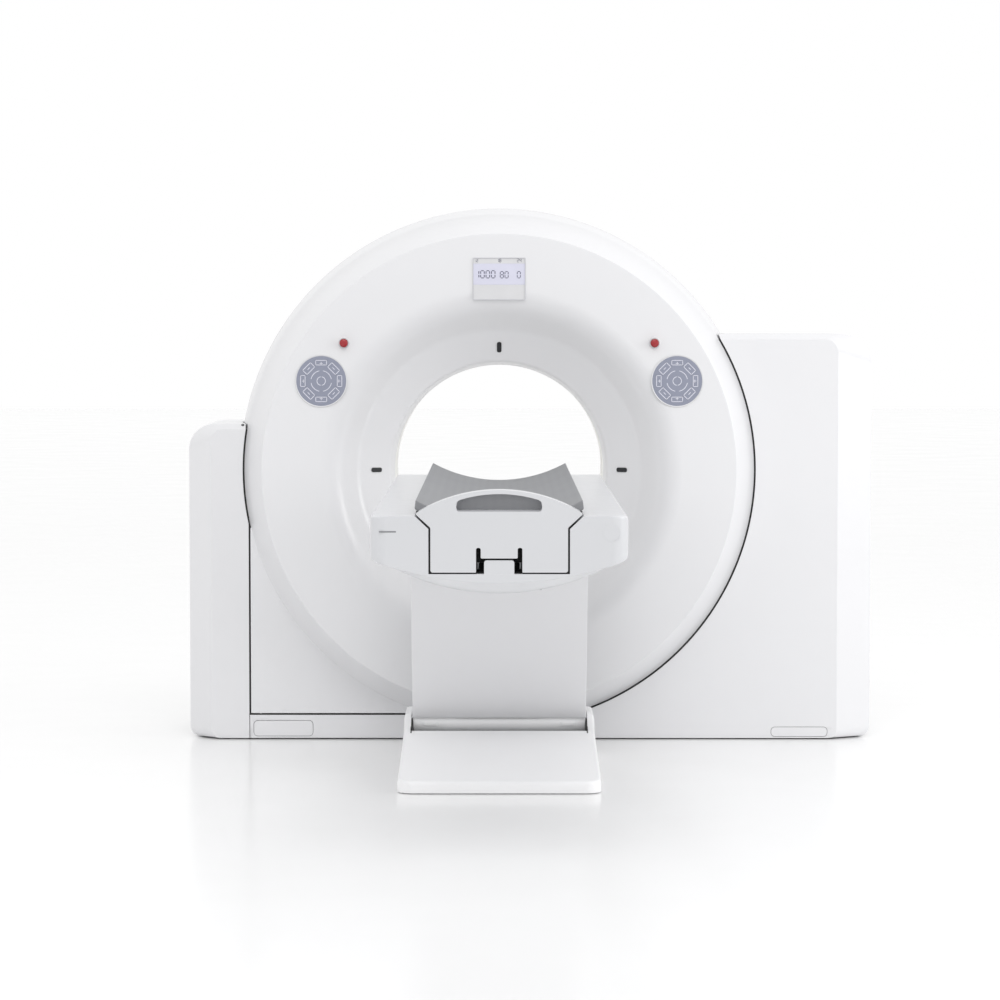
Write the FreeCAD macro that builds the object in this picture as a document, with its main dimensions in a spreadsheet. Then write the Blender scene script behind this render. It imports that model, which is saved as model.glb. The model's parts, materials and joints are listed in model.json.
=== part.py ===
import FreeCAD, Part
import math
import os
import re
import Sketcher
from FreeCAD import Placement, Rotation, Vector

# A CT scanner in millimetres. The origin is on the floor under the isocentre; X points right,
# Y away from the patient table along the bore, and Z up. The gantry ring tilts about the X axis
# through the isocentre, so it keeps inside a sphere about that point, and whatever stands
# beside it keeps outside a slightly larger one.

SIZES = {
    # gantry ring: depths are distances from the isocentre's plane, the rest are radii
    "iso_height": 903, "skin": 5, "seam_half": 1,
    "face_depth": 355, "wing_depth": 250, "shoulder_depth": 100, "waist_depth": 262,
    "lip_depth": 205, "liner_half": 160,
    "bore_radius": 350, "lip_radius": 360, "waist_radius": 470, "funnel_radius": 553,
    "face_radius": 785, "rim_radius": 850, "crown_radius": 875, "opening_radius": 856,
    "corner_reach": 831, "corner_bottom": 88, "ring_foot_reach": 238,
    "liner_wall": 4,
    # housings beside the ring
    "left_inner": 837, "left_outer": 1040, "left_top": 1057, "left_bevel": 77,
    "right_inner": 252, "right_outer": 1247, "right_top": 1357, "right_bevel": 117,
    "side_bevel_depth": 60, "top_bevel": 18, "wing_skin": 4, "cover_gap": 4,
    "left_corner": 35, "right_corner": 110, "plinth_top": 82,
    "flap_gap": 1.5, "flap_corner": 14,
    # stand
    "plate_thick": 20, "plate_reach": 1000, "plate_half_depth": 190, "anchor_reach": 870,
    "anchor_half_depth": 150, "anchor_hole_radius": 9,
    "post_inner": 905, "post_thick": 90, "post_foot_half": 170, "post_top_half": 80,
    "trunnion_radius": 45, "bearing_radius": 60, "running_gap": 0.05,
    "gearbox_thick": 100, "gearbox_half": 100,
    # rotor
    "drum_radius": 740, "drum_bore": 395, "drum_front": 200, "drum_back": 10,
    "drum_wall": 15, "frame_front": 60, "frame_back": 85, "frame_radius": 795, "race_radius": 425,
    "motor_offset_x": 560, "motor_offset_z": 560, "pulley_radius": 36, "belt_thick": 4,
    # controls on the front face: places measured from the isocentre
    "keypad_x": 587, "keypad_z": 299, "keypad_radius": 83, "keypad_thick": 4,
    "stop_x": 512, "stop_z": 424, "stop_radius": 13.5, "stop_travel": 4,
    "display_low": 566, "display_high": 705, "display_half": 87.5,
    "laser_radius": 410, "laser_length": 38, "laser_width": 15,
    # table lift: a parallelogram leaning towards the patient end
    "pivot_height": 124, "front_pivot": 766, "rear_pivot": 616, "lean": 24, "lift_length": 650,
    "shaft_radius": 13, "eye_radius": 21, "hub_radius": 29, "arm_half_width": 275, "arm_front": 30, "arm_back": 22,
    "link_half": 12, "top_hub_half": 203,
    "base_front": 1495, "base_back": 560, "base_front_half": 300, "base_back_half": 320,
    "base_panel_half": 279, "base_nose": 38, "base_slope_top": 108, "cheek_top": 150,
    # table
    "table_near": 2790, "table_far": 600, "table_half": 330, "rail_inner": 224, "rail_top": 905,
    "channel_half": 180, "channel_shoulder": 872, "channel_floor": 757, "table_side_low": 788,
    "belly_half": 215, "belly_low": 706, "belly_flat_half": 120, "belly_bottom": 700,
    "table_skin": 4, "nose_back": 95,
    # tabletop
    "cradle_half": 214, "cradle_edge": 943, "cradle_middle": 888, "cradle_thick": 24,
    "cap_half": 176, "cap_bottom": 761, "cap_depth": 60, "cap_shoulder": 914, "cap_top": 971,
    "cap_neck": 875, "grip_half": 104, "grip_low": 925, "grip_high": 961,
    "tab_half": 45.5, "tab_top": 793, "notch_half": 59, "slot_top": 824,
}
WORD = re.compile(r"[a-z][a-z0-9_]*")
PLANES = {"XY": "XY_Plane", "XZ": "XZ_Plane", "YZ": "YZ_Plane"}
TURNS = {"X": Rotation(Vector(0, 1, 0), 90), "Y": Rotation(Vector(1, 0, 0), -90), "Z": Rotation()}

doc = FreeCAD.newDocument("CtScanner")
sheet = doc.addObject("Spreadsheet::Sheet", "Sizes")
for row, (word, size) in enumerate(SIZES.items(), start=1):
    sheet.set(f"A{row}", word)
    sheet.set(f"B{row}", str(size))
    sheet.setAlias(f"B{row}", word)
doc.recompute()
nodes = []


# ---------------------------------------------------------------- building helpers

def formula(text):
    """The expression text with every size's name pointed at the sheet."""
    return WORD.sub(lambda found: "Sizes." + found[0] if found[0] in SIZES else found[0], str(text))


def number(text):
    """The present value of an expression."""
    return float(sheet.evalExpression(formula(text)))


def bind(thing, **formulas):
    """Binds properties to expressions; two underscores stand for a dot."""
    for path, text in formulas.items():
        thing.setExpression(path.replace("__", "."), formula(text))
    return thing


def keep(thing, name):
    """Marks an object as a finished piece called name."""
    thing.Label = name
    nodes.append(thing)
    return thing


def block(name, x, y, z):
    """A box between two places along each axis."""
    box = doc.addObject("Part::Box", name)
    bind(box, Length=f"({x[1]}) - ({x[0]})", Width=f"({y[1]}) - ({y[0]})", Height=f"({z[1]}) - ({z[0]})")
    return bind(box, Placement__Base__x=x[0], Placement__Base__y=y[0], Placement__Base__z=z[0])


def rod(name, axis, start, radius, length):
    """A cylinder along X, Y or Z from its start point."""
    cylinder = doc.addObject("Part::Cylinder", name)
    cylinder.Placement = Placement(Vector(), TURNS[axis])
    bind(cylinder, Radius=radius, Height=length)
    return bind(cylinder, Placement__Base__x=start[0], Placement__Base__y=start[1],
                Placement__Base__z=start[2])


def cut(name, base, *tools):
    """The base with every tool taken away."""
    result = doc.addObject("Part::Cut", name)
    result.Base = base
    result.Tool = tools[0] if len(tools) == 1 else fuse(name + "_tools", *tools)
    return result


def fuse(name, *pieces):
    """Several solids made one."""
    result = doc.addObject("Part::MultiFuse", name)
    result.Shapes = list(pieces)
    result.Refine = True
    return result


def common(name, *pieces):
    """What several solids share."""
    result = doc.addObject("Part::MultiCommon", name)
    result.Shapes = list(pieces)
    return result


def group(name, *pieces):
    """Like pieces kept as separate solids."""
    result = doc.addObject("Part::Compound", name)
    result.Links = list(pieces)
    return result


def tube(name, axis, start, outer, inner, length):
    """A hollow cylinder."""
    return cut(name, rod(name + "_outside", axis, start, outer, length),
               rod(name + "_hole", axis, start, inner, length))


def placed(thing, rotation, centre):
    """A solid built about the origin, turned and moved to centre."""
    holder = doc.addObject("Part::Compound", thing.Name + "_placed")
    holder.Links = [thing]
    holder.Placement = Placement(Vector(*centre), rotation)
    return holder


def arc_centre(start, end, radius):
    """Centre of the arc from start to end; a positive radius puts it on the left."""
    chord = (end[0] - start[0], end[1] - start[1])
    length = math.hypot(*chord)
    height = math.sqrt(radius * radius - length * length / 4) * (1 if radius > 0 else -1)
    return ((start[0] + end[0]) / 2 - chord[1] / length * height,
            (start[1] + end[1]) / 2 + chord[0] / length * height)


def add_outline(sketch, corners):
    """A closed outline whose corners and arc radii are bound to the sheet.

    A corner is (u, v), or (u, v, radius) where the stretch that leads to it is an arc.
    """
    points = [(number(corner[0]), number(corner[1])) for corner in corners]
    joins = []
    for index, corner in enumerate(corners):
        start = points[index - 1]
        end = points[index]
        if len(corner) == 2:
            edge = sketch.addGeometry(Part.LineSegment(Vector(*start, 0), Vector(*end, 0)), False)
            joins.append((edge, 1, 2))
            continue
        radius = number(corner[2])
        centre = arc_centre(start, end, radius)
        angles = [math.atan2(point[1] - centre[1], point[0] - centre[0]) for point in (start, end)]
        if radius < 0:
            angles.reverse()
        if angles[1] < angles[0]:
            angles[1] += 2 * math.pi
        circle = Part.Circle(Vector(*centre, 0), Vector(0, 0, 1), abs(radius))
        edge = sketch.addGeometry(Part.ArcOfCircle(circle, *angles), False)
        joins.append((edge, 1, 2) if radius > 0 else (edge, 2, 1))
        rule = sketch.addConstraint(Sketcher.Constraint("Radius", edge, abs(radius)))
        sketch.setExpression(f"Constraints[{rule}]", formula(f"abs({corner[2]})"))
    for index, corner in enumerate(corners):
        edge, _, finish = joins[index]
        following, begin, _ = joins[(index + 1) % len(corners)]
        sketch.addConstraint(Sketcher.Constraint("Coincident", edge, finish, following, begin))
        for kind, text, place in (("DistanceX", corner[0], points[index][0]),
                                  ("DistanceY", corner[1], points[index][1])):
            rule = sketch.addConstraint(Sketcher.Constraint(kind, -1, 1, edge, finish, place))
            sketch.setExpression(f"Constraints[{rule}]", formula(text))


def sketched_body(name, plane, corners, offset="0"):
    """A body with one outline on an origin plane moved along the plane's normal."""
    body = doc.addObject("PartDesign::Body", name)
    sketch = body.newObject("Sketcher::SketchObject", name + "_outline")
    support = next(item for item in body.Origin.OriginFeatures if item.Role == PLANES[plane])
    sketch.AttachmentSupport = [(support, "")]
    sketch.MapMode = "FlatFace"
    add_outline(sketch, corners)
    sketch.setExpression("AttachmentOffset.Base.z", formula(offset))
    return body, sketch


def prism(name, plane, corners, low, high):
    """An outline padded between two places along the axis across its plane."""
    sign = "-1" if plane == "XZ" else "1"
    body, sketch = sketched_body(name, plane, corners, f"{sign} * ({low})")
    pad = body.newObject("PartDesign::Pad", name + "_pad")
    pad.Profile = sketch
    pad.Reversed = plane == "XZ"
    bind(pad, Length=f"({high}) - ({low})")
    body.Tip = pad
    return body


def turned(name, corners):
    """An outline of (depth, radius) corners turned about the bore's axis."""
    body, sketch = sketched_body(name, "YZ", corners)
    bind(body, Placement__Base__z="iso_height")
    turn = body.newObject("PartDesign::Revolution", name + "_turn")
    turn.Profile = sketch
    turn.ReferenceAxis = (sketch, ["H_Axis"])
    turn.Angle = 360
    body.Tip = turn
    return body


def round_edges(body, radius, wanted):
    """Rounds the edges of the body's last feature that the test picks."""
    doc.recompute()
    base = body.Tip
    names = [f"Edge{index}" for index, edge in enumerate(base.Shape.Edges, 1) if wanted(edge)]
    if not names:
        raise RuntimeError(f"{body.Name}: no edge to round")
    fillet = body.newObject("PartDesign::Fillet", f"{base.Name}_round")
    fillet.Base = (base, names)
    bind(fillet, Radius=radius)
    body.Tip = fillet
    return body


def through(plane, *corners):
    """A test for straight edges across a plane, through any of some (u, v) corners."""
    axes = {"XY": (0, 1, 2), "XZ": (0, 2, 1), "YZ": (1, 2, 0)}[plane]
    places = [(number(corner[0]), number(corner[1])) for corner in corners]

    def test(edge):
        ends = [vertex.Point for vertex in edge.Vertexes]
        if len(ends) != 2 or abs(ends[0][axes[2]] - ends[1][axes[2]]) < 1:
            return False
        return any(math.hypot(point[axes[0]] - u, point[axes[1]] - v) < 0.01
                   for u, v in places for point in ends[:1])
    return test


def circle_at(depth, radius):
    """A test for the circular edge of a turned body at a depth and radius."""
    depth, radius = number(depth), number(radius)

    def test(edge):
        curve = edge.Curve
        return (isinstance(curve, Part.Circle) and abs(curve.Radius - radius) < 0.01
                and abs(curve.Center.y - depth) < 0.01)
    return test


# ---------------------------------------------------------------- stand

def post(side, name):
    """A welded upright that carries one trunnion bearing; returns that bearing."""
    inner = "post_inner" if side > 0 else "-post_inner - post_thick"
    outer = f"{inner} + post_thick"
    web = prism(name + "_web", "YZ", [
        ("-post_foot_half", "plate_thick"), ("post_foot_half", "plate_thick"),
        ("post_top_half", "iso_height"), ("-post_top_half", "iso_height")], inner, outer)
    boss = rod(name + "_boss", "X", (inner, "0", "iso_height"), "bearing_radius + 25", "post_thick")
    bore = rod(name + "_bore", "X", (inner, "0", "iso_height"), "bearing_radius", "post_thick")
    window = block(name + "_window", (f"{inner} - 1", f"{outer} + 1"), ("-60", "60"),
                   ("120", "iso_height - 220"))
    keep(cut(name, fuse(name + "_weld", web, boss), bore, window), name)
    return tube(name + "_bearing", "X", (inner, "0", "iso_height"), "bearing_radius",
                "trunnion_radius + running_gap", "post_thick")


def floor_frame():
    """The steel base plate, with a hole for each anchor bolt."""
    plate = block("floor_plate", ("-plate_reach", "plate_reach"),
                  ("-plate_half_depth", "plate_half_depth"), ("0", "plate_thick"))
    holes = [rod(f"floor_hole_{index}", "Z", (f"{x} * anchor_reach", f"{y} * anchor_half_depth", "0"),
                 "anchor_hole_radius", "plate_thick")
             for index, (x, y) in enumerate(((-1, -1), (-1, 1), (1, -1), (1, 1)))]
    keep(cut("floor_frame", plate, *holes), "floor_frame")


def tilt_gearmotor():
    """Worm gearbox on the right trunnion's end, with its motor behind."""
    start = "post_inner + post_thick"
    case = block("gearbox_case", (start, f"{start} + gearbox_thick"),
                 ("-gearbox_half", "gearbox_half"),
                 ("iso_height - gearbox_half", "iso_height + gearbox_half"))
    motor = rod("gearbox_motor", "Y", (f"{start} + gearbox_thick / 2", "gearbox_half", "iso_height - 40"),
                "46", "130")
    bore = rod("gearbox_bore", "X", (start, "0", "iso_height"), "trunnion_radius + running_gap",
               "gearbox_thick")
    keep(cut("tilt_gearmotor", fuse("gearbox_body", case, motor), bore), "tilt_gearmotor")


def electrics():
    """Power unit and control rack, stacked in the right housing."""
    power = block("power_case", ("1015", "1190"), ("-180", "180"), ("plate_thick", "430"))
    vents = [block(f"power_vent_{index}", ("1180", "1191"), ("-150", "150"),
                   (f"{60 + 24 * index}", f"{70 + 24 * index}")) for index in range(6)]
    keep(cut("power_unit", power, *vents), "power_unit")
    rack = block("rack_case", ("1015", "1190"), ("-170", "170"), ("430", "770"))
    slots = [block(f"rack_slot_{index}", ("1030", "1191"), ("-150", "150"),
                   (f"{450 + 62 * index}", f"{500 + 62 * index}")) for index in range(5)]
    keep(cut("control_rack", rack, *slots), "control_rack")


def screws():
    """Anchor bolts of the gantry, and the small housing screws."""
    bolts = []
    for index, (x, y) in enumerate(((-1, -1), (-1, 1), (1, -1), (1, 1))):
        place = (f"{x} * anchor_reach", f"{y} * anchor_half_depth", "plate_thick")
        bolts.append(rod(f"anchor_head_{index}", "Z", place, "14", "10"))
    keep(group("anchor_bolts", *bolts), "anchor_bolts")
    heads = []
    for side in (-1, 1):
        start = "-wing_depth - 1.5" if side < 0 else "wing_depth"
        heads.append(rod(f"screw_left_{side + 1}", "Y", ("-left_inner - 26", start, "left_top - 30"),
                         "5", "1.5"))
        heads.append(rod(f"screw_right_{side + 1}", "Y", ("765", start, "right_top - 30"), "5", "1.5"))
    keep(group("housing_screws", *heads), "housing_screws")


# ---------------------------------------------------------------- housings beside the ring

def housing_form(name, hand, face, inset, reach):
    """The solid form of half a housing: its front, plan and side outlines in common.

    hand is -1 left or 1 right, face -1 front or 1 rear; inset shrinks the form by the skin, and
    reach lets the shrunk form run out past the open sides.
    """
    word = "left" if hand < 0 else "right"
    inner = f"{hand} * ({word}_inner) - {hand} * {reach}" if hand > 0 else f"-left_inner + {reach}"
    outer = f"{hand} * ({word}_outer - {inset})"
    bevelled = f"{hand} * ({word}_outer - {word}_bevel - {inset} * 0.6)"
    top = f"{word}_top - {inset}"
    foot = f"cover_gap - {reach}"
    plane = f"{face} * (wing_depth - {inset})"
    shoulder = f"{face} * (wing_depth - side_bevel_depth - {inset} * 0.6)"
    seam = f"{face} * seam_half - {face} * {reach}"
    low, high = (plane, seam) if face < 0 else (seam, plane)
    front = prism(name + "_front", "XZ", [(inner, foot), (outer, foot), (outer, top), (inner, top)],
                  low, high)
    round_edges(front, f"{word}_corner - {inset}", through("XZ", (outer, top)))
    plan = prism(name + "_plan", "XY", [
        (inner, plane), (bevelled, plane), (outer, shoulder), (outer, seam), (inner, seam)], foot, top)
    left, right = (outer, inner) if hand < 0 else (inner, outer)
    side = prism(name + "_side", "YZ", [
        (plane, foot), (plane, f"{word}_top - top_bevel - {inset} * 0.4"),
        (f"{face} * (wing_depth - top_bevel - {inset} * 0.4)", top), (seam, top), (seam, foot)],
        left, right)
    return common(name, front, plan, side)


def housing(hand, face, name, *openings):
    """Half of a housing's moulded cover, cut back to the sphere that the ring tilts in."""
    shell = cut(name + "_shell", housing_form(name + "_form", hand, face, "0", "0"),
                housing_form(name + "_void", hand, face, "wing_skin", "20"))
    clearance = doc.addObject("Part::Sphere", name + "_sphere")
    bind(clearance, Radius="sqrt(opening_radius ^ 2 + wing_depth ^ 2)", Placement__Base__z="iso_height")
    keep(cut(name, shell, clearance, *openings), name)


def flap(name, x, z, y):
    """A rounded access flap and the opening it closes."""
    opening = prism(name + "_opening", "XZ", [(x[0], z[0]), (x[1], z[0]), (x[1], z[1]), (x[0], z[1])],
                    f"{y} - 1", f"{y} + wing_skin + 1")
    corners = ((x[0], z[0]), (x[1], z[0]), (x[1], z[1]), (x[0], z[1]))
    round_edges(opening, "flap_corner", through("XZ", *corners))
    low = [f"{x[0]} + flap_gap", f"{z[0]} + flap_gap"]
    high = [f"{x[1]} - flap_gap", f"{z[1]} - flap_gap"]
    inside = [(low[0], low[1]), (high[0], low[1]), (high[0], high[1]), (low[0], high[1])]
    plate = prism(name, "XZ", inside, y, f"{y} + wing_skin")
    round_edges(plate, "flap_corner - flap_gap", through("XZ", *inside))
    keep(plate, name)
    return opening


def housings():
    """The four housing covers, the plinth strips under the ring and the access flaps."""
    right_hole = flap("right_access_flap", ("910", "1100"), ("8", "42"), "-wing_depth")
    left_hole = flap("left_access_flap", ("-823", "-623"), ("10", "64"), "-wing_depth")
    housing(-1, -1, "left_front_housing")
    housing(-1, 1, "left_rear_housing")
    housing(1, -1, "right_front_housing", right_hole)
    housing(1, 1, "right_rear_housing")
    front = block("plinth_front_strip", ("-left_inner", "right_inner"),
                  ("-wing_depth", "-wing_depth + wing_skin"), ("cover_gap", "plinth_top"))
    keep(cut("plinth_front", front, left_hole), "plinth_front")
    keep(block("plinth_rear", ("-left_inner", "right_inner"),
               ("wing_depth - wing_skin", "wing_depth"), ("cover_gap", "plinth_top")), "plinth_rear")


def gap_trims():
    """Black rubber lips on the housings' edges beside the ring."""
    lip = ("-wing_depth", "-wing_depth + 6")
    arc = tube("trim_arc", "Y", ("0", "-wing_depth", "iso_height"), "opening_radius",
               "opening_radius - 3", "6")
    right_zone = prism("trim_right_zone", "XZ", [
        ("right_inner", "corner_bottom - 6"), ("900", "corner_bottom - 6"), ("900", "right_top - top_bevel"),
        ("600", "right_top - top_bevel"), ("600", "iso_height"), ("right_inner", "300")], "-300", "-200")
    keep(common("right_gap_trim", arc, right_zone), "right_gap_trim")
    left_arc = tube("trim_left_arc", "Y", ("0", "-wing_depth", "iso_height"), "opening_radius",
                    "opening_radius - 3", "6")
    left_zone = block("trim_left_zone", ("-900", "-left_inner"), ("-300", "-200"),
                      ("iso_height - 400", "left_top - top_bevel"))
    upright = block("trim_left_upright", ("-left_inner", "-left_inner + 3"), lip,
                    ("plinth_top", "iso_height - sqrt(opening_radius ^ 2 - left_inner ^ 2)"))
    sill = block("trim_left_sill", ("-left_inner", "right_inner"), lip, ("plinth_top", "plinth_top + 3"))
    keep(fuse("left_gap_trim", common("trim_left_curve", left_arc, left_zone), upright, sill),
         "left_gap_trim")


# ---------------------------------------------------------------- tilting unit

def ring_shell(name, side):
    """The ring's moulded wall: throat, funnel, flat face, bevelled rim and crown."""
    outside = [
        ("liner_half", "bore_radius"), ("lip_depth", "lip_radius"), ("waist_depth", "waist_radius"),
        ("face_depth", "funnel_radius"), ("face_depth", "face_radius"), ("wing_depth", "rim_radius"),
        ("shoulder_depth", "crown_radius"), ("seam_half", "crown_radius")]
    inside = [
        ("seam_half", "crown_radius - skin"), ("shoulder_depth", "crown_radius - skin"),
        ("wing_depth - 0.35 * skin", "rim_radius - 0.95 * skin"),
        ("face_depth - skin", "face_radius - 0.56 * skin"),
        ("face_depth - skin", "funnel_radius + 0.44 * skin"),
        ("waist_depth - 0.84 * skin", "waist_radius + 0.64 * skin"),
        ("lip_depth - 0.66 * skin", "lip_radius + 0.88 * skin"), ("liner_half", "bore_radius + skin")]
    body = turned(name, [(f"{side} * ({depth})", radius) for depth, radius in outside + inside])
    for radius, depth, at in (("60", "waist_depth", "waist_radius"), ("50", "face_depth", "funnel_radius"),
                              ("12", "face_depth", "face_radius"), ("20", "lip_depth", "lip_radius")):
        round_edges(body, radius, circle_at(f"{side} * {depth}", at))
    round_edges(body, "45", circle_at(f"{side} * (face_depth - skin)", "funnel_radius + 0.44 * skin"))
    return body


def gantry_cover(name, side, *openings):
    """Half of the ring's cover, with the square lower-left corner moulded on."""
    outer = sorted((f"{side} * wing_depth", f"{side} * seam_half"), key=number)
    inner = sorted((f"{side} * (wing_depth - skin)", f"{side} * (seam_half - 5)"), key=number)
    corner = block(name + "_corner", ("-corner_reach", "-200"), outer, ("corner_bottom", "iso_height"))
    hollow = block(name + "_corner_void", ("-corner_reach + skin", "-190"), inner,
                   ("corner_bottom - 5", "iso_height + 5"))
    barrel = rod(name + "_barrel", "Y", ("0", "-400", "iso_height"), "rim_radius - 3", "800")
    walls = cut(name + "_corner_walls", corner, hollow, barrel)
    sill = block(name + "_sill", ("-corner_reach", "ring_foot_reach"), outer,
                 ("corner_bottom", "corner_bottom + skin"))
    foot = block(name + "_foot", ("-1000", "1000"), ("-400", "400"), ("0", "corner_bottom"))
    trunnion = rod(name + "_trunnion_hole", "X", ("-950", "0", "iso_height"), "trunnion_radius + 35",
                   "1900")
    core = rod(name + "_core", "X", ("-600", "0", "iso_height"), "trunnion_radius + 36", "1200")
    ring = cut(name + "_ring", ring_shell(name + "_wall", side), foot)
    whole = fuse(name + "_whole", ring, walls, sill)
    keep(cut(name, whole, cut(name + "_trunnion_cuts", trunnion, core), *openings), name)


def on_face(name, x, z, radius, low, high):
    """A disc on the front face, at a place measured from the isocentre."""
    return rod(name, "Y", (x, f"-face_depth - ({high})", f"iso_height + {z}"), radius,
               f"({high}) - ({low})")


def laser_slot(name, angle, length, width, thick):
    """A slim block through the funnel's lip, square to its slope, at an angle round the bore."""
    brick = doc.addObject("Part::Box", name)
    bind(brick, Length=width, Width=thick, Height=length, Placement__Base__x=f"-({width}) / 2",
         Placement__Base__y=f"-({thick}) / 2", Placement__Base__z=f"-({length}) / 2")
    rise = number("waist_radius - lip_radius")
    depth = number("waist_depth - lip_depth")
    radius = number("laser_radius")
    slope = math.atan2(depth, rise)
    y = -number("lip_depth") - (radius - number("lip_radius")) * depth / rise
    lean = Rotation(Vector(1, 0, 0), math.degrees(slope))
    round_bore = Rotation(Vector(0, 1, 0), angle)
    centre = round_bore.multVec(Vector(0, y, radius)) + Vector(0, 0, number("iso_height"))
    return placed(brick, round_bore.multiply(lean), centre)


def controls():
    """What is set into the front face; returns the openings it needs."""
    openings = []
    collars = []
    frame = block("bezel_plate", ("-display_half", "display_half"), ("-face_depth - 3", "-face_depth + 25"),
                  ("iso_height + display_low", "iso_height + display_high"))
    well = block("bezel_well", ("-display_half + 7", "display_half - 7"),
                 ("-face_depth - 4", "-face_depth + 20"),
                 ("iso_height + display_low + 7", "iso_height + display_high - 7"))
    keep(cut("display_bezel", frame, well), "display_bezel")
    keep(block("display_screen", ("-display_half + 7", "display_half - 7"),
               ("-face_depth - 1", "-face_depth + 19"),
               ("iso_height + display_low + 7", "iso_height + display_high - 7")), "display_screen")
    openings.append(block("display_opening", ("-display_half", "display_half"),
                          ("-face_depth - 10", "-face_depth + 30"),
                          ("iso_height + display_low", "iso_height + display_high")))
    for side, word in ((-1, "left"), (1, "right")):
        keep(on_face(f"{word}_keypad", f"{side} * keypad_x", "keypad_z", "keypad_radius",
                     "0", "keypad_thick"), f"{word}_keypad")
        x = f"{side} * stop_x"
        openings.append(on_face(f"{word}_stop_opening", x, "stop_z", "stop_radius + 2", "-20", "1"))
        collar = on_face(f"{word}_collar_ring", x, "stop_z", "stop_radius + 6", "0", "5")
        neck = on_face(f"{word}_collar_neck", x, "stop_z", "stop_radius + 2", "-16", "0")
        hole = on_face(f"{word}_collar_hole", x, "stop_z", "7", "-17", "6")
        collars.append(cut(f"{word}_stop_collar", fuse(f"{word}_collar_body", collar, neck), hole))
        head = on_face(f"{word}_stop_head", x, "stop_z", "stop_radius", "5 + stop_travel + 1",
                       "stop_travel + 17")
        stem = on_face(f"{word}_stop_stem", x, "stop_z", "6.9", "-8", "stop_travel + 7")
        keep(fuse(f"{word}_stop_button", head, stem), f"{word}_stop_button")
    keep(group("stop_collars", *collars), "stop_collars")
    windows = [laser_slot(f"laser_window_{angle}", angle, "laser_length", "laser_width", "7")
               for angle in (0, 90, -90)]
    keep(group("laser_windows", *windows), "laser_windows")
    openings += [laser_slot(f"laser_cut_{angle}", angle, "laser_length", "laser_width", "30")
                 for angle in (0, 90, -90)]
    return openings


def gantry_frame():
    """The welded ring that carries the rotor's bearing, the drive and the two trunnions."""
    plate = tube("frame_plate", "Y", ("0", "frame_front", "iso_height"), "frame_radius", "race_radius - 5",
                 "frame_back - frame_front")
    parts = [plate]
    for side, word, reach in ((-1, "left", "post_inner + post_thick - 2"),
                              (1, "right", "post_inner + post_thick + gearbox_thick - 5")):
        inner, outer = sorted((f"{side} * 768", f"{side} * 862"), key=number)
        parts.append(block(f"frame_{word}_horn", (inner, outer), ("-62", "frame_back"),
                           ("iso_height - 110", "iso_height + 110")))
        start = "850" if side > 0 else f"-({reach})"
        parts.append(rod(f"frame_{word}_trunnion", "X", (start, "0", "iso_height"), "trunnion_radius",
                         f"{reach} - 850"))
    foot = block("frame_foot", ("-900", "900"), ("-200", "200"), ("0", "corner_bottom + skin + 6"))
    hole = rod("frame_motor_hole", "Y", ("-motor_offset_x", "-300", "iso_height - motor_offset_z"), "16",
               "600")
    lug = block("frame_motor_lug", ("-motor_offset_x - 50", "-motor_offset_x + 60"),
                ("frame_front", "frame_back"),
                ("iso_height - motor_offset_z - 50", "iso_height - motor_offset_z + 60"))
    keep(cut("gantry_frame", fuse("frame_weld", *parts, lug), foot, hole), "gantry_frame")
    keep(turned("main_bearing", [
        ("18", "race_radius + running_gap"), ("frame_front", "race_radius + running_gap"),
        ("frame_front", "race_radius + 45"), ("18", "race_radius + 45")]), "main_bearing")
    keep(tube("bore_liner", "Y", ("0", "-liner_half", "iso_height"), "bore_radius + liner_wall",
              "bore_radius", "2 * liner_half"), "bore_liner")


def rotor_drive():
    """Motor, pulley and the belt round the drum, with the power brushes."""
    x, z = "-motor_offset_x", "iso_height - motor_offset_z"
    body = rod("drive_motor_body", "Y", (x, "frame_back", z), "52", "125")
    shaft = rod("drive_motor_shaft", "Y", (x, "frame_front - 20", z), "12", "frame_back - frame_front + 20")
    keep(fuse("rotor_motor", body, shaft), "rotor_motor")
    wheel = rod("pulley_disc", "Y", (x, "-30", z), "pulley_radius", "38")
    hub = rod("pulley_hub", "Y", (x, "8", z), "20", "frame_front - 30")
    keep(fuse("motor_pulley", wheel, hub), "motor_pulley")
    distance = math.hypot(number("motor_offset_x"), number("motor_offset_z"))
    big = number("drum_radius") + 0.3
    small = number("pulley_radius") + 0.3
    thick = number("belt_thick")
    towards = Vector(-number("motor_offset_x"), 0, -number("motor_offset_z")) / distance
    across = Vector(-towards.z, 0, towards.x)

    def loop(extra):
        """The belt's line round both wheels: two arcs and two tangent runs."""
        wrap = math.acos((big - small) / distance)
        points = []
        for side in (1, -1):
            normal = towards * math.cos(wrap) + across * math.sin(wrap) * side
            points.append((normal * (big + extra), towards * distance + normal * (small + extra)))
        (big_a, small_a), (big_b, small_b) = points
        tip = towards * (distance + small + extra)
        back = towards * -(big + extra)
        edges = [Part.LineSegment(big_a, small_a).toShape(), Part.Arc(small_a, tip, small_b).toShape(),
                 Part.LineSegment(small_b, big_b).toShape(), Part.Arc(big_b, back, big_a).toShape()]
        return Part.Face(Part.Wire(edges)).extrude(Vector(0, 30, 0))

    belt = doc.addObject("Part::Feature", "rotor_belt")
    belt.Shape = loop(thick).cut(loop(0))
    belt.Placement = Placement(Vector(0, -26, number("iso_height")), Rotation())
    keep(belt, "rotor_belt")
    keep(block("brush_block", ("-70", "70"), ("31", "frame_front"),
               ("iso_height - 700", "iso_height - 600")), "brush_block")


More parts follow.
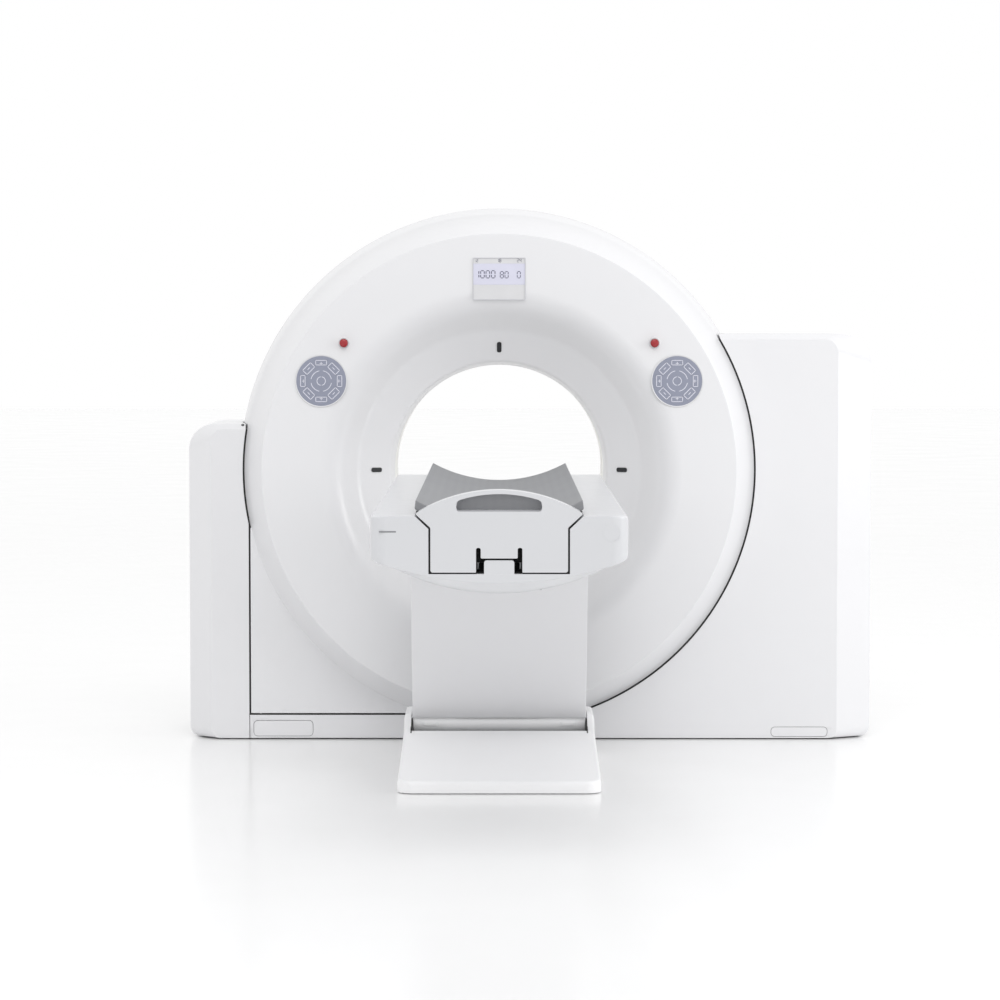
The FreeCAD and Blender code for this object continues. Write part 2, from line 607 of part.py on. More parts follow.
def rim_seal():
    """The black rubber band round the rim, seen through the gap beside the housings."""
    band = turned("seal_band", [
        ("-wing_depth + 1", "rim_radius + 0.3"), ("-215", "rim_radius + 6"), ("-215", "rim_radius + 7.3"),
        ("-wing_depth + 1", "rim_radius + 1.6")])
    foot = block("seal_foot", ("-900", "900"), ("-300", "0"), ("0", "corner_bottom + skin"))
    corner = block("seal_corner", ("-900", "0"), ("-300", "0"), ("0", "iso_height - 160"))
    above_left = block("seal_above_left", ("-900", "0"), ("-300", "0"), ("left_top - top_bevel", "2000"))
    above_right = block("seal_above_right", ("0", "900"), ("-300", "0"), ("right_top - top_bevel", "2000"))
    keep(cut("rim_seal", band, foot, corner, above_left, above_right), "rim_seal")


# ---------------------------------------------------------------- rotor

def rotor():
    """The spinning drum and what it carries round the bore."""
    keep(turned("rotor_drum", [
        ("-drum_front", "drum_bore"), ("-drum_front", "drum_bore + drum_wall"),
        ("drum_back - 30", "drum_bore + drum_wall"), ("drum_back - 30", "drum_radius - drum_wall"),
        ("-drum_front", "drum_radius - drum_wall"), ("-drum_front", "drum_radius"),
        ("drum_back", "drum_radius"), ("drum_back", "drum_bore")]), "rotor_drum")
    keep(turned("bearing_inner_ring", [
        ("drum_back", "drum_bore"), ("drum_back", "race_radius"), ("frame_front - 4", "race_radius"),
        ("frame_front - 4", "drum_bore")]), "bearing_inner_ring")
    keep(turned("slip_ring", [
        ("drum_back", "610"), ("drum_back + 20", "610"), ("drum_back + 20", "690"), ("drum_back", "690")]),
        "slip_ring")
    plate = "drum_back - 30"
    tube_body = rod("tube_housing", "Y", ("0", "-drum_front + 8", "iso_height + 590"), "95",
                    f"{plate} + drum_front - 8")
    anode = block("tube_anode", ("-60", "60"), ("-drum_front + 30", "-60"),
                  ("iso_height + 500", "iso_height + 600"))
    keep(fuse("xray_tube", tube_body, anode), "xray_tube")
    box = block("collimator_box", ("-75", "75"), ("-160", "-70"), ("iso_height + 425", "iso_height + 494"))
    slit = block("collimator_slit", ("-50", "50"), ("-120", "-110"), ("iso_height + 424", "iso_height + 500"))
    keep(cut("collimator", box, slit), "collimator")
    keep(prism("detector_arc", "XZ", [
        ("-330", "iso_height - 500", "-600"), ("-380", "iso_height - 575"),
        ("380", "iso_height - 575", "690"), ("330", "iso_height - 500")], "-170", plate), "detector_arc")
    keep(block("hv_generator", ("430", "640"), ("-180", plate), ("iso_height - 130", "iso_height + 170")),
         "hv_generator")
    keep(block("rotor_counterweight", ("-640", "-460"), ("-150", plate),
               ("iso_height - 110", "iso_height + 110")), "rotor_counterweight")


# ---------------------------------------------------------------- table base and lift

def along_arm(pivot, up, forward):
    """The (y, z) place at a distance up the leaning arm and towards the patient end of it."""
    return (f"-{pivot} - ({up}) * sin(lean * 1deg) - ({forward}) * cos(lean * 1deg)",
            f"pivot_height + ({up}) * cos(lean * 1deg) - ({forward}) * sin(lean * 1deg)")


def lever(name, pivot, x, up, forward):
    """A straight bar along the leaning arm, between two x places."""
    return prism(name, "YZ", [
        along_arm(pivot, up[0], forward[0]), along_arm(pivot, up[0], forward[1]),
        along_arm(pivot, up[1], forward[1]), along_arm(pivot, up[1], forward[0])], x[0], x[1])


def hub(name, pivot, up, half, radius):
    """A cylinder across the arm at one of its pivots."""
    y, z = along_arm(pivot, up, "0")
    return rod(name, "X", (f"-({half})", y, z), radius, f"2 * ({half})")


def front_arm():
    """The wide lift arm and the moulded cover over its patient side."""
    beam = lever("arm_beam", "front_pivot", ("-140", "140"), ("0", "lift_length"), ("-arm_back", "20"))
    parts = [beam, hub("arm_low_hub", "front_pivot", "0", "arm_half_width", "hub_radius"),
             hub("arm_high_hub", "front_pivot", "lift_length", "top_hub_half", "hub_radius - 1")]
    holes = [hub("arm_low_bore", "front_pivot", "0", "arm_half_width + 1", "shaft_radius + running_gap"),
             hub("arm_high_bore", "front_pivot", "lift_length", "top_hub_half + 1",
                 "shaft_radius + running_gap")]
    keep(cut("lift_arm", fuse("arm_weld", *parts), *holes), "lift_arm")
    span = ("hub_radius + 3", "lift_length - 62")
    outside = lever("arm_cover_outside", "front_pivot", ("-arm_half_width", "arm_half_width"), span,
                    ("-arm_back", "arm_front"))
    inside = lever("arm_cover_inside", "front_pivot", ("-arm_half_width + 4", "arm_half_width - 4"),
                   ("hub_radius + 7", "lift_length - 50"), ("-arm_back - 5", "arm_front - 4"))
    relief = lever("arm_cover_relief", "front_pivot", ("-140.5", "140.5"), ("0", "hub_radius + 10"),
                   ("-arm_back - 5", "20.5"))
    keep(cut("arm_cover", outside, inside, relief), "arm_cover")


def rear_link():
    """The two thin bars behind the arm that keep the table level."""
    parts = []
    for side, word in ((-1, "left"), (1, "right")):
        low, high = sorted((f"{side} * 150", f"{side} * 178"), key=number)
        parts.append(lever(f"link_{word}_bar", "rear_pivot", (low, high), ("0", "lift_length"),
                           ("-link_half", "link_half")))
    parts.append(hub("link_low_hub", "rear_pivot", "0", "top_hub_half", "hub_radius - 4"))
    parts.append(hub("link_high_hub", "rear_pivot", "lift_length", "top_hub_half", "hub_radius - 4"))
    low = hub("link_low_bore", "rear_pivot", "0", "top_hub_half + 1", "shaft_radius + running_gap")
    high = hub("link_high_bore", "rear_pivot", "lift_length", "top_hub_half + 1", "shaft_radius + 0.5")
    keep(cut("rear_link", fuse("link_weld", *parts), low, high), "rear_link")


def table_base():
    """Steel base with its pivot lugs, the shafts, the lift drive and the moulded base cover."""
    plate = block("base_plate", ("-262", "262"), ("-base_front + 40", "-base_back + 10"), ("0", "14"))
    lugs = []
    for side, word in ((-1, "left"), (1, "right")):
        for place, pivot, near, far in (("front", "front_pivot", "arm_half_width + 9", "arm_half_width + 24"),
                                        ("rear", "rear_pivot", "top_hub_half + 2", "top_hub_half + 22")):
            low, high = sorted((f"{side} * ({near})", f"{side} * ({far})"), key=number)
            lugs.append(block(f"base_{place}_{word}_lug", (low, high), (f"-{pivot} - 34", f"-{pivot} + 34"),
                              ("0", "pivot_height")))
            lugs.append(rod(f"base_{place}_{word}_eye", "X", (low, f"-{pivot}", "pivot_height"),
                            "eye_radius", f"({high}) - ({low})"))
        low, high = sorted((f"{side} * 255", f"{side} * (arm_half_width + 24)"), key=number)
        lugs.append(block(f"base_{word}_wing", (low, high), ("-front_pivot - 34", "-front_pivot + 34"),
                          ("0", "14")))
    bores = [hub("base_front_bore", "front_pivot", "0", "320", "shaft_radius"),
             hub("base_rear_bore", "rear_pivot", "0", "320", "shaft_radius")]
    bores += [rod(f"base_bolt_hole_{index}", "Z", (f"{x} * 200", f"-{y}", "0"), "anchor_hole_radius", "14")
              for index, (x, y) in enumerate(((-1, 1380), (1, 1380), (-1, 880), (1, 880)))]
    keep(cut("table_base_frame", fuse("base_weld", plate, *lugs), *bores), "table_base_frame")
    shafts = [hub("front_base_shaft", "front_pivot", "0", "arm_half_width + 24", "shaft_radius"),
              hub("rear_base_shaft", "rear_pivot", "0", "top_hub_half + 22", "shaft_radius")]
    keep(group("base_pivot_shafts", *shafts), "base_pivot_shafts")
    keep(fuse("lift_gearmotor",
              block("lift_case", ("-60", "100"), ("-rear_pivot - 105", "-rear_pivot - 35"), ("14", "84")),
              rod("lift_motor", "X", ("-190", "-rear_pivot - 70", "50"), "32", "131")), "lift_gearmotor")
    side_view = [("-base_front", "2"), ("-base_back", "2"), ("-base_back", "cheek_top - 14"),
                 ("-base_back - 14", "cheek_top"), ("-front_pivot - 30", "cheek_top"),
                 ("-front_pivot - 95", "base_slope_top"), ("-base_front + 10", "base_nose"),
                 ("-base_front", "base_nose - 10")]
    cheeks = prism("base_side_view", "YZ", side_view, "-base_back_half", "base_back_half")
    plan = prism("base_plan", "XY", [
        ("-base_front_half", "-base_front"), ("base_front_half", "-base_front"),
        ("base_back_half", "-front_pivot"), ("base_back_half", "-base_back"),
        ("-base_back_half", "-base_back"), ("-base_back_half", "-front_pivot")], "0", "200")
    round_edges(plan, "40", through("XY", ("-base_front_half", "-base_front"),
                                    ("base_front_half", "-base_front")))
    form = common("base_form", cheeks, plan)
    bay = block("base_bay", ("-base_panel_half", "base_panel_half"), ("-front_pivot - 97", "-base_back + 5"),
                ("-5", "cheek_top + 5"))
    void = prism("base_void", "YZ", [
        ("-base_front + 5", "-5"), ("-base_back - 4", "-5"), ("-base_back - 4", "cheek_top - 18"),
        ("-base_back - 16", "cheek_top - 4"), ("-front_pivot - 28", "cheek_top - 4"),
        ("-front_pivot - 93", "base_slope_top - 4"), ("-base_front + 12", "base_nose - 4"),
        ("-base_front + 5", "base_nose - 12")], "-base_back_half + 4", "base_back_half - 4")
    lean_in = "4 + (base_back_half - base_front_half)"
    slim = prism("base_slim", "XY", [
        (f"-base_back_half + {lean_in}", "-base_front + 4"), (f"base_back_half - ({lean_in})", "-base_front + 4"),
        ("base_back_half - 4", "-front_pivot"), ("base_back_half - 4", "-base_back - 4"),
        ("-base_back_half + 4", "-base_back - 4"), ("-base_back_half + 4", "-front_pivot")], "-10", "200")
    inner_walls = fuse("base_inner_walls", *[
        block(f"base_inner_{word}", low_high, ("-front_pivot - 97", "-base_back"), ("14", "cheek_top - 2"))
        for word, low_high in (("left", ("-base_panel_half - 3", "-base_panel_half")),
                               ("right", ("base_panel_half", "base_panel_half + 3")))])
    shell = cut("base_shell", form, common("base_hollow", void, slim), bay)
    clear = hub("base_cover_clear", "front_pivot", "0", "arm_half_width + 24", "shaft_radius + 1")
    walls = cut("base_inner_cut", common("base_inner_trim", inner_walls, cheeks), clear)
    keep(fuse("table_base_cover", shell, walls), "table_base_cover")


# ---------------------------------------------------------------- table

def table_shafts():
    """The two shafts under the table that the arm and the link turn on."""
    shafts = [hub("front_table_shaft", "front_pivot", "lift_length", "top_hub_half + 22", "shaft_radius"),
              hub("rear_table_shaft", "rear_pivot", "lift_length", "top_hub_half + 22", "shaft_radius")]
    keep(group("table_pivot_shafts", *shafts), "table_pivot_shafts")


def table_frame():
    """Two long beams with cross members and the lugs that hold the table's shafts."""
    ends = ("-table_near + nose_back + 10", "-table_far - 20")
    parts = []
    for side, word in ((-1, "left"), (1, "right")):
        low, high = sorted((f"{side} * 190", f"{side} * 235"), key=number)
        parts.append(block(f"frame_{word}_beam", (low, high), ends, ("channel_floor", "855")))
    floor = ("channel_floor - 9", "channel_floor - 4")
    for index in range(6):
        place = f"-table_near + 120 + {index} * 330"
        parts.append(block(f"frame_cross_{index}", ("-235", "235"), (place, f"{place} + 50"), floor))
    for side, word in ((-1, "left"), (1, "right")):
        low, high = sorted((f"{side} * 190", f"{side} * 235"), key=number)
        parts.append(block(f"frame_{word}_sill", (low, high), ends, ("channel_floor - 9", "channel_floor")))
        for place, pivot in (("front", "front_pivot"), ("rear", "rear_pivot")):
            near, far = sorted((f"{side} * (top_hub_half + 2)", f"{side} * (top_hub_half + 22)"), key=number)
            y, z = along_arm(pivot, "lift_length", "0")
            parts.append(block(f"table_{place}_{word}_lug", (near, far), (f"{y} - 30", f"{y} + 30"),
                               (z, "channel_floor - 4")))
            parts.append(rod(f"table_{place}_{word}_eye", "X", (near, y, z), "hub_radius - 1", f"({far}) - ({near})"))
    bores = [hub("table_front_bore", "front_pivot", "lift_length", "300", "shaft_radius"),
             hub("table_rear_bore", "rear_pivot", "lift_length", "300", "shaft_radius")]
    keep(cut("table_frame", fuse("table_weld", *parts), *bores), "table_frame")


def body_outline(inset):
    """The table body's section: two rails, the belly and the channel that the tabletop runs in."""
    half = f"(table_half - {inset})"
    low = f"(belly_bottom + {inset})"
    right = [("belly_flat_half", low), (f"belly_half - {inset} * 0.5", f"belly_low + {inset}"),
             (half, f"table_side_low + {inset} * 0.6"), (half, f"rail_top - {inset}"),
             (f"rail_inner + {inset} * 0.5", f"rail_top - {inset}"),
             (f"channel_half + {inset}", f"channel_shoulder - {inset} * 0.2"),
             (f"channel_half + {inset}", f"channel_floor - {inset}")]
    left = [(f"-({u})", v) for u, v in reversed(right)]
    return right + left


def table_cover():
    """The moulded body of the table: a hollow trough with a sloping chin at its patient end."""
    outside = prism("table_outside", "XZ", body_outline("0"), "-table_near", "-table_far")
    chin = prism("table_chin", "YZ", [
        ("-table_near - 1", "600"), ("-table_near + nose_back", "600"),
        ("-table_near + nose_back", "belly_bottom"), ("-table_near", "belly_bottom + 43"),
        ("-table_near - 1", "belly_bottom + 43")], "-400", "400")
    hollow = prism("table_hollow", "XZ", body_outline("table_skin"), "-table_near + table_skin",
                   "-table_far + 5")
    chin_wall = prism("table_chin_wall", "YZ", [
        ("-table_near - 1", "600"), ("-table_near + nose_back + 5", "600"),
        ("-table_near + nose_back + 1", "belly_bottom + table_skin"),
        ("-table_near + table_skin", "belly_bottom + 43 + table_skin"),
        ("-table_near - 1", "belly_bottom + 43 + table_skin")], "-400", "400")
    y_front, _ = along_arm("front_pivot", "lift_length", "0")
    slot = block("table_slot", ("-284", "284"), (f"{y_front} - 60", "-table_far + 10"),
                 ("600", "channel_floor - 4"))
    shell = cut("table_shell", outside, chin, cut("table_void", hollow, chin_wall), slot)
    tab = block("table_tab", ("-tab_half", "tab_half"), ("-table_near", "-table_near + 24"),
                ("channel_floor - 2", "tab_top"))
    keep(fuse("table_body", shell, tab), "table_body")


def table_inside():
    """Guide rails in the channel, and the motor that feeds the tabletop."""
    guides = []
    for side, word in ((-1, "left"), (1, "right")):
        low, high = sorted((f"{side} * 22", f"{side} * 50"), key=number)
        guides.append(block(f"guide_{word}", (low, high), ("-table_near + 80", "-table_far - 10"),
                            ("channel_floor", "channel_floor + 22")))
    keep(group("guide_rails", *guides), "guide_rails")
    keep(fuse("feed_motor",
              block("feed_case", ("40", "110"), ("-table_near + 140", "-table_near + 260"),
                    ("belly_bottom + 5", "channel_floor - 13")),
              rod("feed_body", "X", ("-100", "-table_near + 225", "belly_bottom + 27"), "21", "141")),
         "feed_motor")


# ---------------------------------------------------------------- tabletop

def cradle():
    """The concave carbon-fibre board that the patient lies on."""
    sag = "(cradle_edge - cradle_middle)"
    arc = f"((cradle_half ^ 2 + {sag} ^ 2) / (2 * {sag}))"
    keep(prism("cradle", "XZ", [
        ("-cradle_half", "cradle_edge", f"-{arc}"), ("-cradle_half - 3", "cradle_edge - cradle_thick"),
        ("cradle_half + 3", "cradle_edge - cradle_thick", f"{arc} + cradle_thick - 4"),
        ("cradle_half", "cradle_edge")],
        "-table_near + cap_depth", "-table_far"), "cradle")


def end_cap():
    """The moulded end of the tabletop, with a D-shaped grip above and a notched tongue below."""
    rise = "(cap_top - cap_shoulder)"
    arc = f"((cradle_half ^ 2 + {rise} ^ 2) / (2 * {rise}))"
    form = prism("cap_form", "XZ", [
        ("-cap_half", "cap_bottom"), ("cap_half", "cap_bottom"), ("cap_half", "cap_neck"),
        ("cradle_half", "cap_shoulder"), ("-cradle_half", "cap_shoulder", arc), ("-cap_half", "cap_neck")],
        "-table_near", "-table_near + cap_depth")
    grip_rise = "(grip_high - grip_low)"
    grip_arc = f"((grip_half ^ 2 + {grip_rise} ^ 2) / (2 * {grip_rise}))"
    grip = prism("cap_grip", "XZ", [
        ("-grip_half", "grip_low", grip_arc), ("grip_half", "grip_low")],
        "-table_near - 5", "-table_near + cap_depth + 5")
    through_cap = ("-table_near - 5", "-table_near + cap_depth + 5")
    notch = block("cap_notch", ("-notch_half", "notch_half"), through_cap, ("cap_bottom - 5", "tab_top + 4"))
    slots = [block(f"cap_slot_{word}", low_high, through_cap, ("cap_bottom - 5", "slot_top"))
             for word, low_high in (("left", ("-notch_half", "-tab_half")),
                                    ("right", ("tab_half", "notch_half")))]
    keep(cut("end_cap", form, grip, notch, *slots), "end_cap")


def carriage():
    """The sled under the cradle, with two grooved shoes that ride on the guide rails."""
    deck = block("carriage_deck", ("-165", "165"), ("-table_near + cap_depth", "-table_near + 860"),
                 ("channel_floor + 30", "channel_floor + 50"))
    parts = [deck]
    for side, word in ((-1, "left"), (1, "right")):
        low, high = sorted((f"{side} * 12", f"{side} * 56"), key=number)
        parts.append(block(f"carriage_{word}_shoe", (low, high), ("-table_near + 90", "-table_near + 850"),
                           ("channel_floor + 6", "channel_floor + 30")))
    for index in range(3):
        place = f"-table_near + 120 + {index} * 320"
        parts.append(block(f"carriage_post_{index}", ("-60", "60"), (place, f"{place} + 40"),
                           ("channel_floor + 50", "cradle_middle - cradle_thick - 2")))
    grooves = [block(f"carriage_{word}_groove", low_high, ("-table_near", "-table_near + 900"),
                     ("0", "channel_floor + 22.3"))
               for word, low_high in (("left", ("-50.3", "-21.7")), ("right", ("21.7", "50.3")))]
    pads = block("carriage_pad", ("-80", "80"), ("-table_near + cap_depth", "-table_near + 860"),
                 ("cradle_middle - cradle_thick - 12", "cradle_middle - cradle_thick + 6"))
    body = fuse("carriage_body", *parts, pads)
    keep(cut("carriage", body, doc.getObject("cradle"), *grooves), "carriage")


# ---------------------------------------------------------------- assembly and files

def build():
    """Makes every piece."""
    floor_frame()
    keep(group("tilt_bearings", post(-1, "left_post"), post(1, "right_post")), "tilt_bearings")
    tilt_gearmotor()
    electrics()
    screws()
    housings()
    gap_trims()
    gantry_cover("front_cover", -1, *controls())
    gantry_cover("rear_cover", 1)
    gantry_frame()
    rotor_drive()
    rim_seal()
    rotor()
    front_arm()
    rear_link()
    table_base()
    table_shafts()
    table_frame()
    table_cover()
    table_inside()
    cradle()
    end_cap()
    carriage()


def write_parts():
    """Checks every object, then writes each piece to its own file."""
    doc.recompute()
    failed = [thing.Name for thing in doc.Objects if {"Invalid", "Error"} & set(thing.State)]
    if failed:
        raise RuntimeError("objects that failed: " + ", ".join(failed))
    for piece in nodes:
        if piece.Shape.isNull() or not piece.Shape.isValid() or not piece.Shape.Solids:
            raise RuntimeError(f"{piece.Label} has no sound shape")
    os.makedirs("parts", exist_ok=True)
    for piece in nodes:
        piece.Shape.exportStep(f"parts/{piece.Label}.step")
        box = piece.Shape.BoundBox
        print(f"{piece.Label:22s} solids {len(piece.Shape.Solids)}  "
              f"x {box.XMin:.0f}..{box.XMax:.0f}  y {box.YMin:.0f}..{box.YMax:.0f}  "
              f"z {box.ZMin:.0f}..{box.ZMax:.0f}")


build()
write_parts()
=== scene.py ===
"""A CT scanner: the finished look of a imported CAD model, laid out as an add-on.

Lengths are metres in the CAD model's frame: X right, Y along the bore away from the table, Z up.
"""
import json
import math

import bmesh
import bpy
from mathutils import Matrix, Vector

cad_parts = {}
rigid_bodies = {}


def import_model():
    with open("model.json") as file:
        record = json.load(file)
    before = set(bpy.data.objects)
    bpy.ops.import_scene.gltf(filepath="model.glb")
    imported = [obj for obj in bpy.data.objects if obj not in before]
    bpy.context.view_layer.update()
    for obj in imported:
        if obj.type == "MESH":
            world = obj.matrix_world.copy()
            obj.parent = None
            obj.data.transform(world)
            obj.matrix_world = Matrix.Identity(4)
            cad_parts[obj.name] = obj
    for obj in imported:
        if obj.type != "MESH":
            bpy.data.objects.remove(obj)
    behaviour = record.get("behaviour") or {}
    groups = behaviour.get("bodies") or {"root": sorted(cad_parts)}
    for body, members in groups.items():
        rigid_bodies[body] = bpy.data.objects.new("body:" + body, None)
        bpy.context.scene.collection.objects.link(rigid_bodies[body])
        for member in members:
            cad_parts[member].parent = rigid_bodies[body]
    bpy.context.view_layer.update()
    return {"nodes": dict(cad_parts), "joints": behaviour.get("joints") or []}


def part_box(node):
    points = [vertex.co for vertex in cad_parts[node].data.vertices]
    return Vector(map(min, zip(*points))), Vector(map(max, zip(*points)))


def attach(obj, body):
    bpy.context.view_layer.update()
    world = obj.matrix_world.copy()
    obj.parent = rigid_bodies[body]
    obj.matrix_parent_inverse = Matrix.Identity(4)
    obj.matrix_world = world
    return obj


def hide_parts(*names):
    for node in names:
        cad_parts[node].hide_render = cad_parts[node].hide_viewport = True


bl_info = {
    "name": "CT scanner",
    "version": (1, 0, 0),
    "blender": (4, 5, 0),
    "location": "3D View > Sidebar > CT Scanner",
    "description": "Builds a CT gantry and its patient table round a CAD frame",
    "category": "Object",
}

for leftover in list(bpy.data.objects):
    bpy.data.objects.remove(leftover)
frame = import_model()

MM = 0.001
ARC_STEPS = 6
JOINTS = {joint["name"]: joint for joint in frame["joints"]}
ISO = JOINTS["gantry_tilt"]["pos_m"][2]
COVER_LOW, COVER_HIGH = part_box("front_cover")
FACE = COVER_LOW.y
LINER_LOW, LINER_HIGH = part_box("bore_liner")
TABLE_LOW, TABLE_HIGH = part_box("table_body")
CAP_LOW, CAP_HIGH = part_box("end_cap")
BASE_LOW, BASE_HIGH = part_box("table_base_cover")
ARM_LOW, ARM_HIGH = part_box("arm_cover")
PIVOT = Vector(JOINTS["table_lift"]["pos_m"])
TOP_PIVOT = Vector(JOINTS["table_level"]["pos_m"])


# ---------------------------------------------------------------- colours

def linear(code):
    """A hex sRGB colour as linear red, green, blue and alpha."""
    parts = [int(code[place:place + 2], 16) / 255 for place in (1, 3, 5)]
    return [p / 12.92 if p <= 0.04045 else ((p + 0.055) / 1.055) ** 2.4 for p in parts] + [1.0]


def length(name, description, default):
    """A length property in metres."""
    return bpy.props.FloatProperty(name=name, description=description, default=default, unit="LENGTH",
                                   precision=4)


def colour(name, description, code):
    """A colour property whose default is a hex sRGB colour."""
    return bpy.props.FloatVectorProperty(name=name, description=description, default=linear(code),
                                         size=4, min=0, max=1, subtype="COLOR")


# ---------------------------------------------------------------- settings

class RingSizes(bpy.types.PropertyGroup):
    """Profile of the tilting ring: depths from the isocentre's plane, and radii."""
    face: length("Face depth", "How far the flat face stands in front of the isocentre", -FACE)
    wing: length("Rim depth", "Depth at which the bevelled rim ends", 250 * MM)
    shoulder: length("Shoulder depth", "Depth at which the crown starts", 100 * MM)
    waist: length("Waist depth", "Depth of the funnel's bend", 262 * MM)
    lip: length("Lip depth", "Depth at which the throat opens", 205 * MM)
    bore_radius: length("Bore radius", "Radius of the patient opening", (LINER_HIGH.x - 4 * MM))
    lip_radius: length("Lip radius", "Radius at the throat's mouth", 360 * MM)
    waist_radius: length("Waist radius", "Radius at the funnel's bend", 470 * MM)
    funnel_radius: length("Funnel radius", "Radius at which the funnel meets the face", 553 * MM)
    face_radius: length("Face radius", "Outer radius of the flat face", 785 * MM)
    rim_radius: length("Rim radius", "Radius at the bevel's outer edge", 850 * MM)
    crown_radius: length("Crown radius", "Largest radius of the ring", COVER_HIGH.x)
    corner_reach: length("Corner reach", "How far the square lower corner reaches left", 831 * MM)
    corner_low: length("Corner bottom", "Height of the ring's cut-off underside", COVER_LOW.z)
    skin: length("Wall", "Thickness of the moulded wall", 5 * MM)


class HousingSizes(bpy.types.PropertyGroup):
    """The housings beside the ring."""
    front: length("Front depth", "Depth of the housings' front plane", 250 * MM)
    opening: length("Opening radius", "Radius of the opening that the ring stands in", 856 * MM)
    top_bevel: length("Top bevel", "Size of the bevel along the top edge", 18 * MM)
    left_bevel: length("Left side bevel", "Width of the left housing's side bevel", 77 * MM)
    left_corner: length("Left corner", "Radius of the left housing's upper corner", 90 * MM)
    left_face_corner: length("Left face corner", "The same radius on the front plane", 40 * MM)
    right_bevel: length("Right side bevel", "Width of the right housing's side bevel", 117 * MM)
    right_corner: length("Right corner", "Radius of the right housing's upper corner", 110 * MM)
    right_face_corner: length("Right face corner", "The same radius on the front plane", 46 * MM)
    foot_corner: length("Foot corner", "Radius of the housings' lower outer corners", 36 * MM)
    foot_face_corner: length("Foot face corner", "The same radius on the front plane", 30 * MM)
    lip: length("Lip", "Depth of the lip round the ring's opening", 22 * MM)
    plinth_joint: length("Plinth joint", "Width of the joint at the plinth's left end", 2.2 * MM)
    flap_gap: length("Flap gap", "Gap round the access flaps", 1.5 * MM)
    flap_corner: length("Flap corner", "Corner radius of the flaps' openings", 14 * MM)
    side_bevel: length("Side bevel depth", "How far back the wide side bevel runs", 60 * MM)
    plinth: length("Plinth height", "Top of the strip under the ring", 82 * MM)
    gap: length("Floor gap", "Gap between the covers and the floor", 4 * MM)
    skin: length("Wall", "Thickness of the moulded wall", 4 * MM)


class ControlSizes(bpy.types.PropertyGroup):
    """Controls on the gantry's face, placed from the isocentre."""
    keypad_x: length("Keypad offset", "Distance of each keypad from the middle", 587 * MM)
    keypad_z: length("Keypad height", "Height of each keypad above the isocentre", 299 * MM)
    keypad_radius: length("Keypad radius", "Radius of each keypad", 86.5 * MM)
    stop_x: length("Stop offset", "Distance of each stop button from the middle", 512 * MM)
    stop_z: length("Stop height", "Height of each stop button above the isocentre", 424 * MM)
    stop_radius: length("Stop radius", "Radius of each stop button", 13.5 * MM)
    laser_radius: length("Laser radius", "Distance of the laser windows from the bore's axis", 410 * MM)
    laser_long: length("Laser length", "Length of a laser window", 38 * MM)
    laser_wide: length("Laser width", "Width of a laser window", 15 * MM)


class TableSizes(bpy.types.PropertyGroup):
    """Section of the patient table and of the tabletop on it."""
    rail_inner: length("Rail inner edge", "Distance of each rail's inner edge from the middle", 215 * MM)
    channel_half: length("Channel half width", "Half the width of the channel", 180 * MM)
    channel_shoulder: length("Channel shoulder", "Height at which the channel's walls lean out", 872 * MM)
    channel_floor: length("Channel floor", "Height of the channel's floor", 757 * MM)
    side_low: length("Side bottom", "Height of the side walls' lower edges", 788 * MM)
    front_sag: length("Front sag", "Drop of the belly's curve at the patient end", 54 * MM)
    belly_sag: length("Belly sag", "Drop of the belly's curve along the table", 88 * MM)
    nose: length("Nose", "Length of the sloping chin", 95 * MM)
    corner: length("Corner radius", "Radius of the upright corners at the patient end", 42 * MM)
    cradle_edge: length("Cradle edge", "Height of the cradle's edges", 943 * MM)
    cradle_middle: length("Cradle middle", "Height of the cradle's hollow", 888 * MM)
    cradle_thick: length("Cradle thickness", "Thickness of the board", 24 * MM)
    grip_half: length("Grip half width", "Half the width of the grip opening", 110 * MM)
    grip_low: length("Grip bottom", "Height of the grip's straight edge", 925 * MM)
    grip_high: length("Grip top", "Height of the top of the grip", 961 * MM)


class LiftSizes(bpy.types.PropertyGroup):
    """The leaning arm and the base on the floor."""
    lean: bpy.props.FloatProperty(name="Lean", description="Lean of the arm towards the patient end",
                                  default=math.atan2(PIVOT.y - TOP_PIVOT.y, TOP_PIVOT.z - PIVOT.z),
                                  unit="ROTATION")
    front: length("Cover front", "How far the arm's cover stands in front of its pivots", 30 * MM)
    back: length("Cover back", "How far the arm's cover reaches behind its pivots", 22 * MM)
    start: length("Cover start", "Where the arm's cover starts above the lower pivot", 32 * MM)
    end: length("Cover end", "Where the arm's cover ends above the lower pivot", 588 * MM)
    panel_half: length("Panel half width", "Half the width of the base's middle panel", 279 * MM)
    nose_half: length("Nose half width", "Half the width of the base at its front", 304 * MM)
    cheek_half: length("Cheek half width", "Half the width of the base beside the arm", 302 * MM)
    nose_top: length("Nose height", "Height of the base's front edge", 38 * MM)
    slope_top: length("Slope top", "Height at the top of the base's slope", 108 * MM)
    cheek_top: length("Cheek top", "Height of the cheeks beside the arm", 150 * MM)


class Finishes(bpy.types.PropertyGroup):
    """Colours of the finishes."""
    housing: colour("Housings", "Satin lacquer on the moulded covers", "#E6E6E8")
    # The base's colour is painted light: the housings' lacquer made brighter against the table's shade.
    base: colour("Base", "Satin lacquer on the base", "#FBFBFC")
    table: colour("Table", "Satin lacquer on the table and its end cap", "#D3D4D7")
    cradle: colour("Cradle", "Gel coat over the carbon board", "#8E8F92")
    liner: colour("Liner", "Film that lines the bore", "#F5F4F0")
    keypad: colour("Keypad", "Membrane keypads", "#9195A6")
    marks: colour("Keypad marks", "Raised lines on the keypads", "#EAEAF4")
    stop: colour("Stop buttons", "Red plastic of the stop buttons", "#A01C24")
    screen: colour("Screen", "Lit field of the display", "#DADAEA")
    digits: colour("Digits", "Digits on the display", "#55566E")
    # This black is also painted shade in the end cap's slots and the base's bay.
    rubber: colour("Rubber", "Seals and gap lips", "#0C0C0E")
    floor: colour("Floor", "Glossy floor", "#F6F6F6")


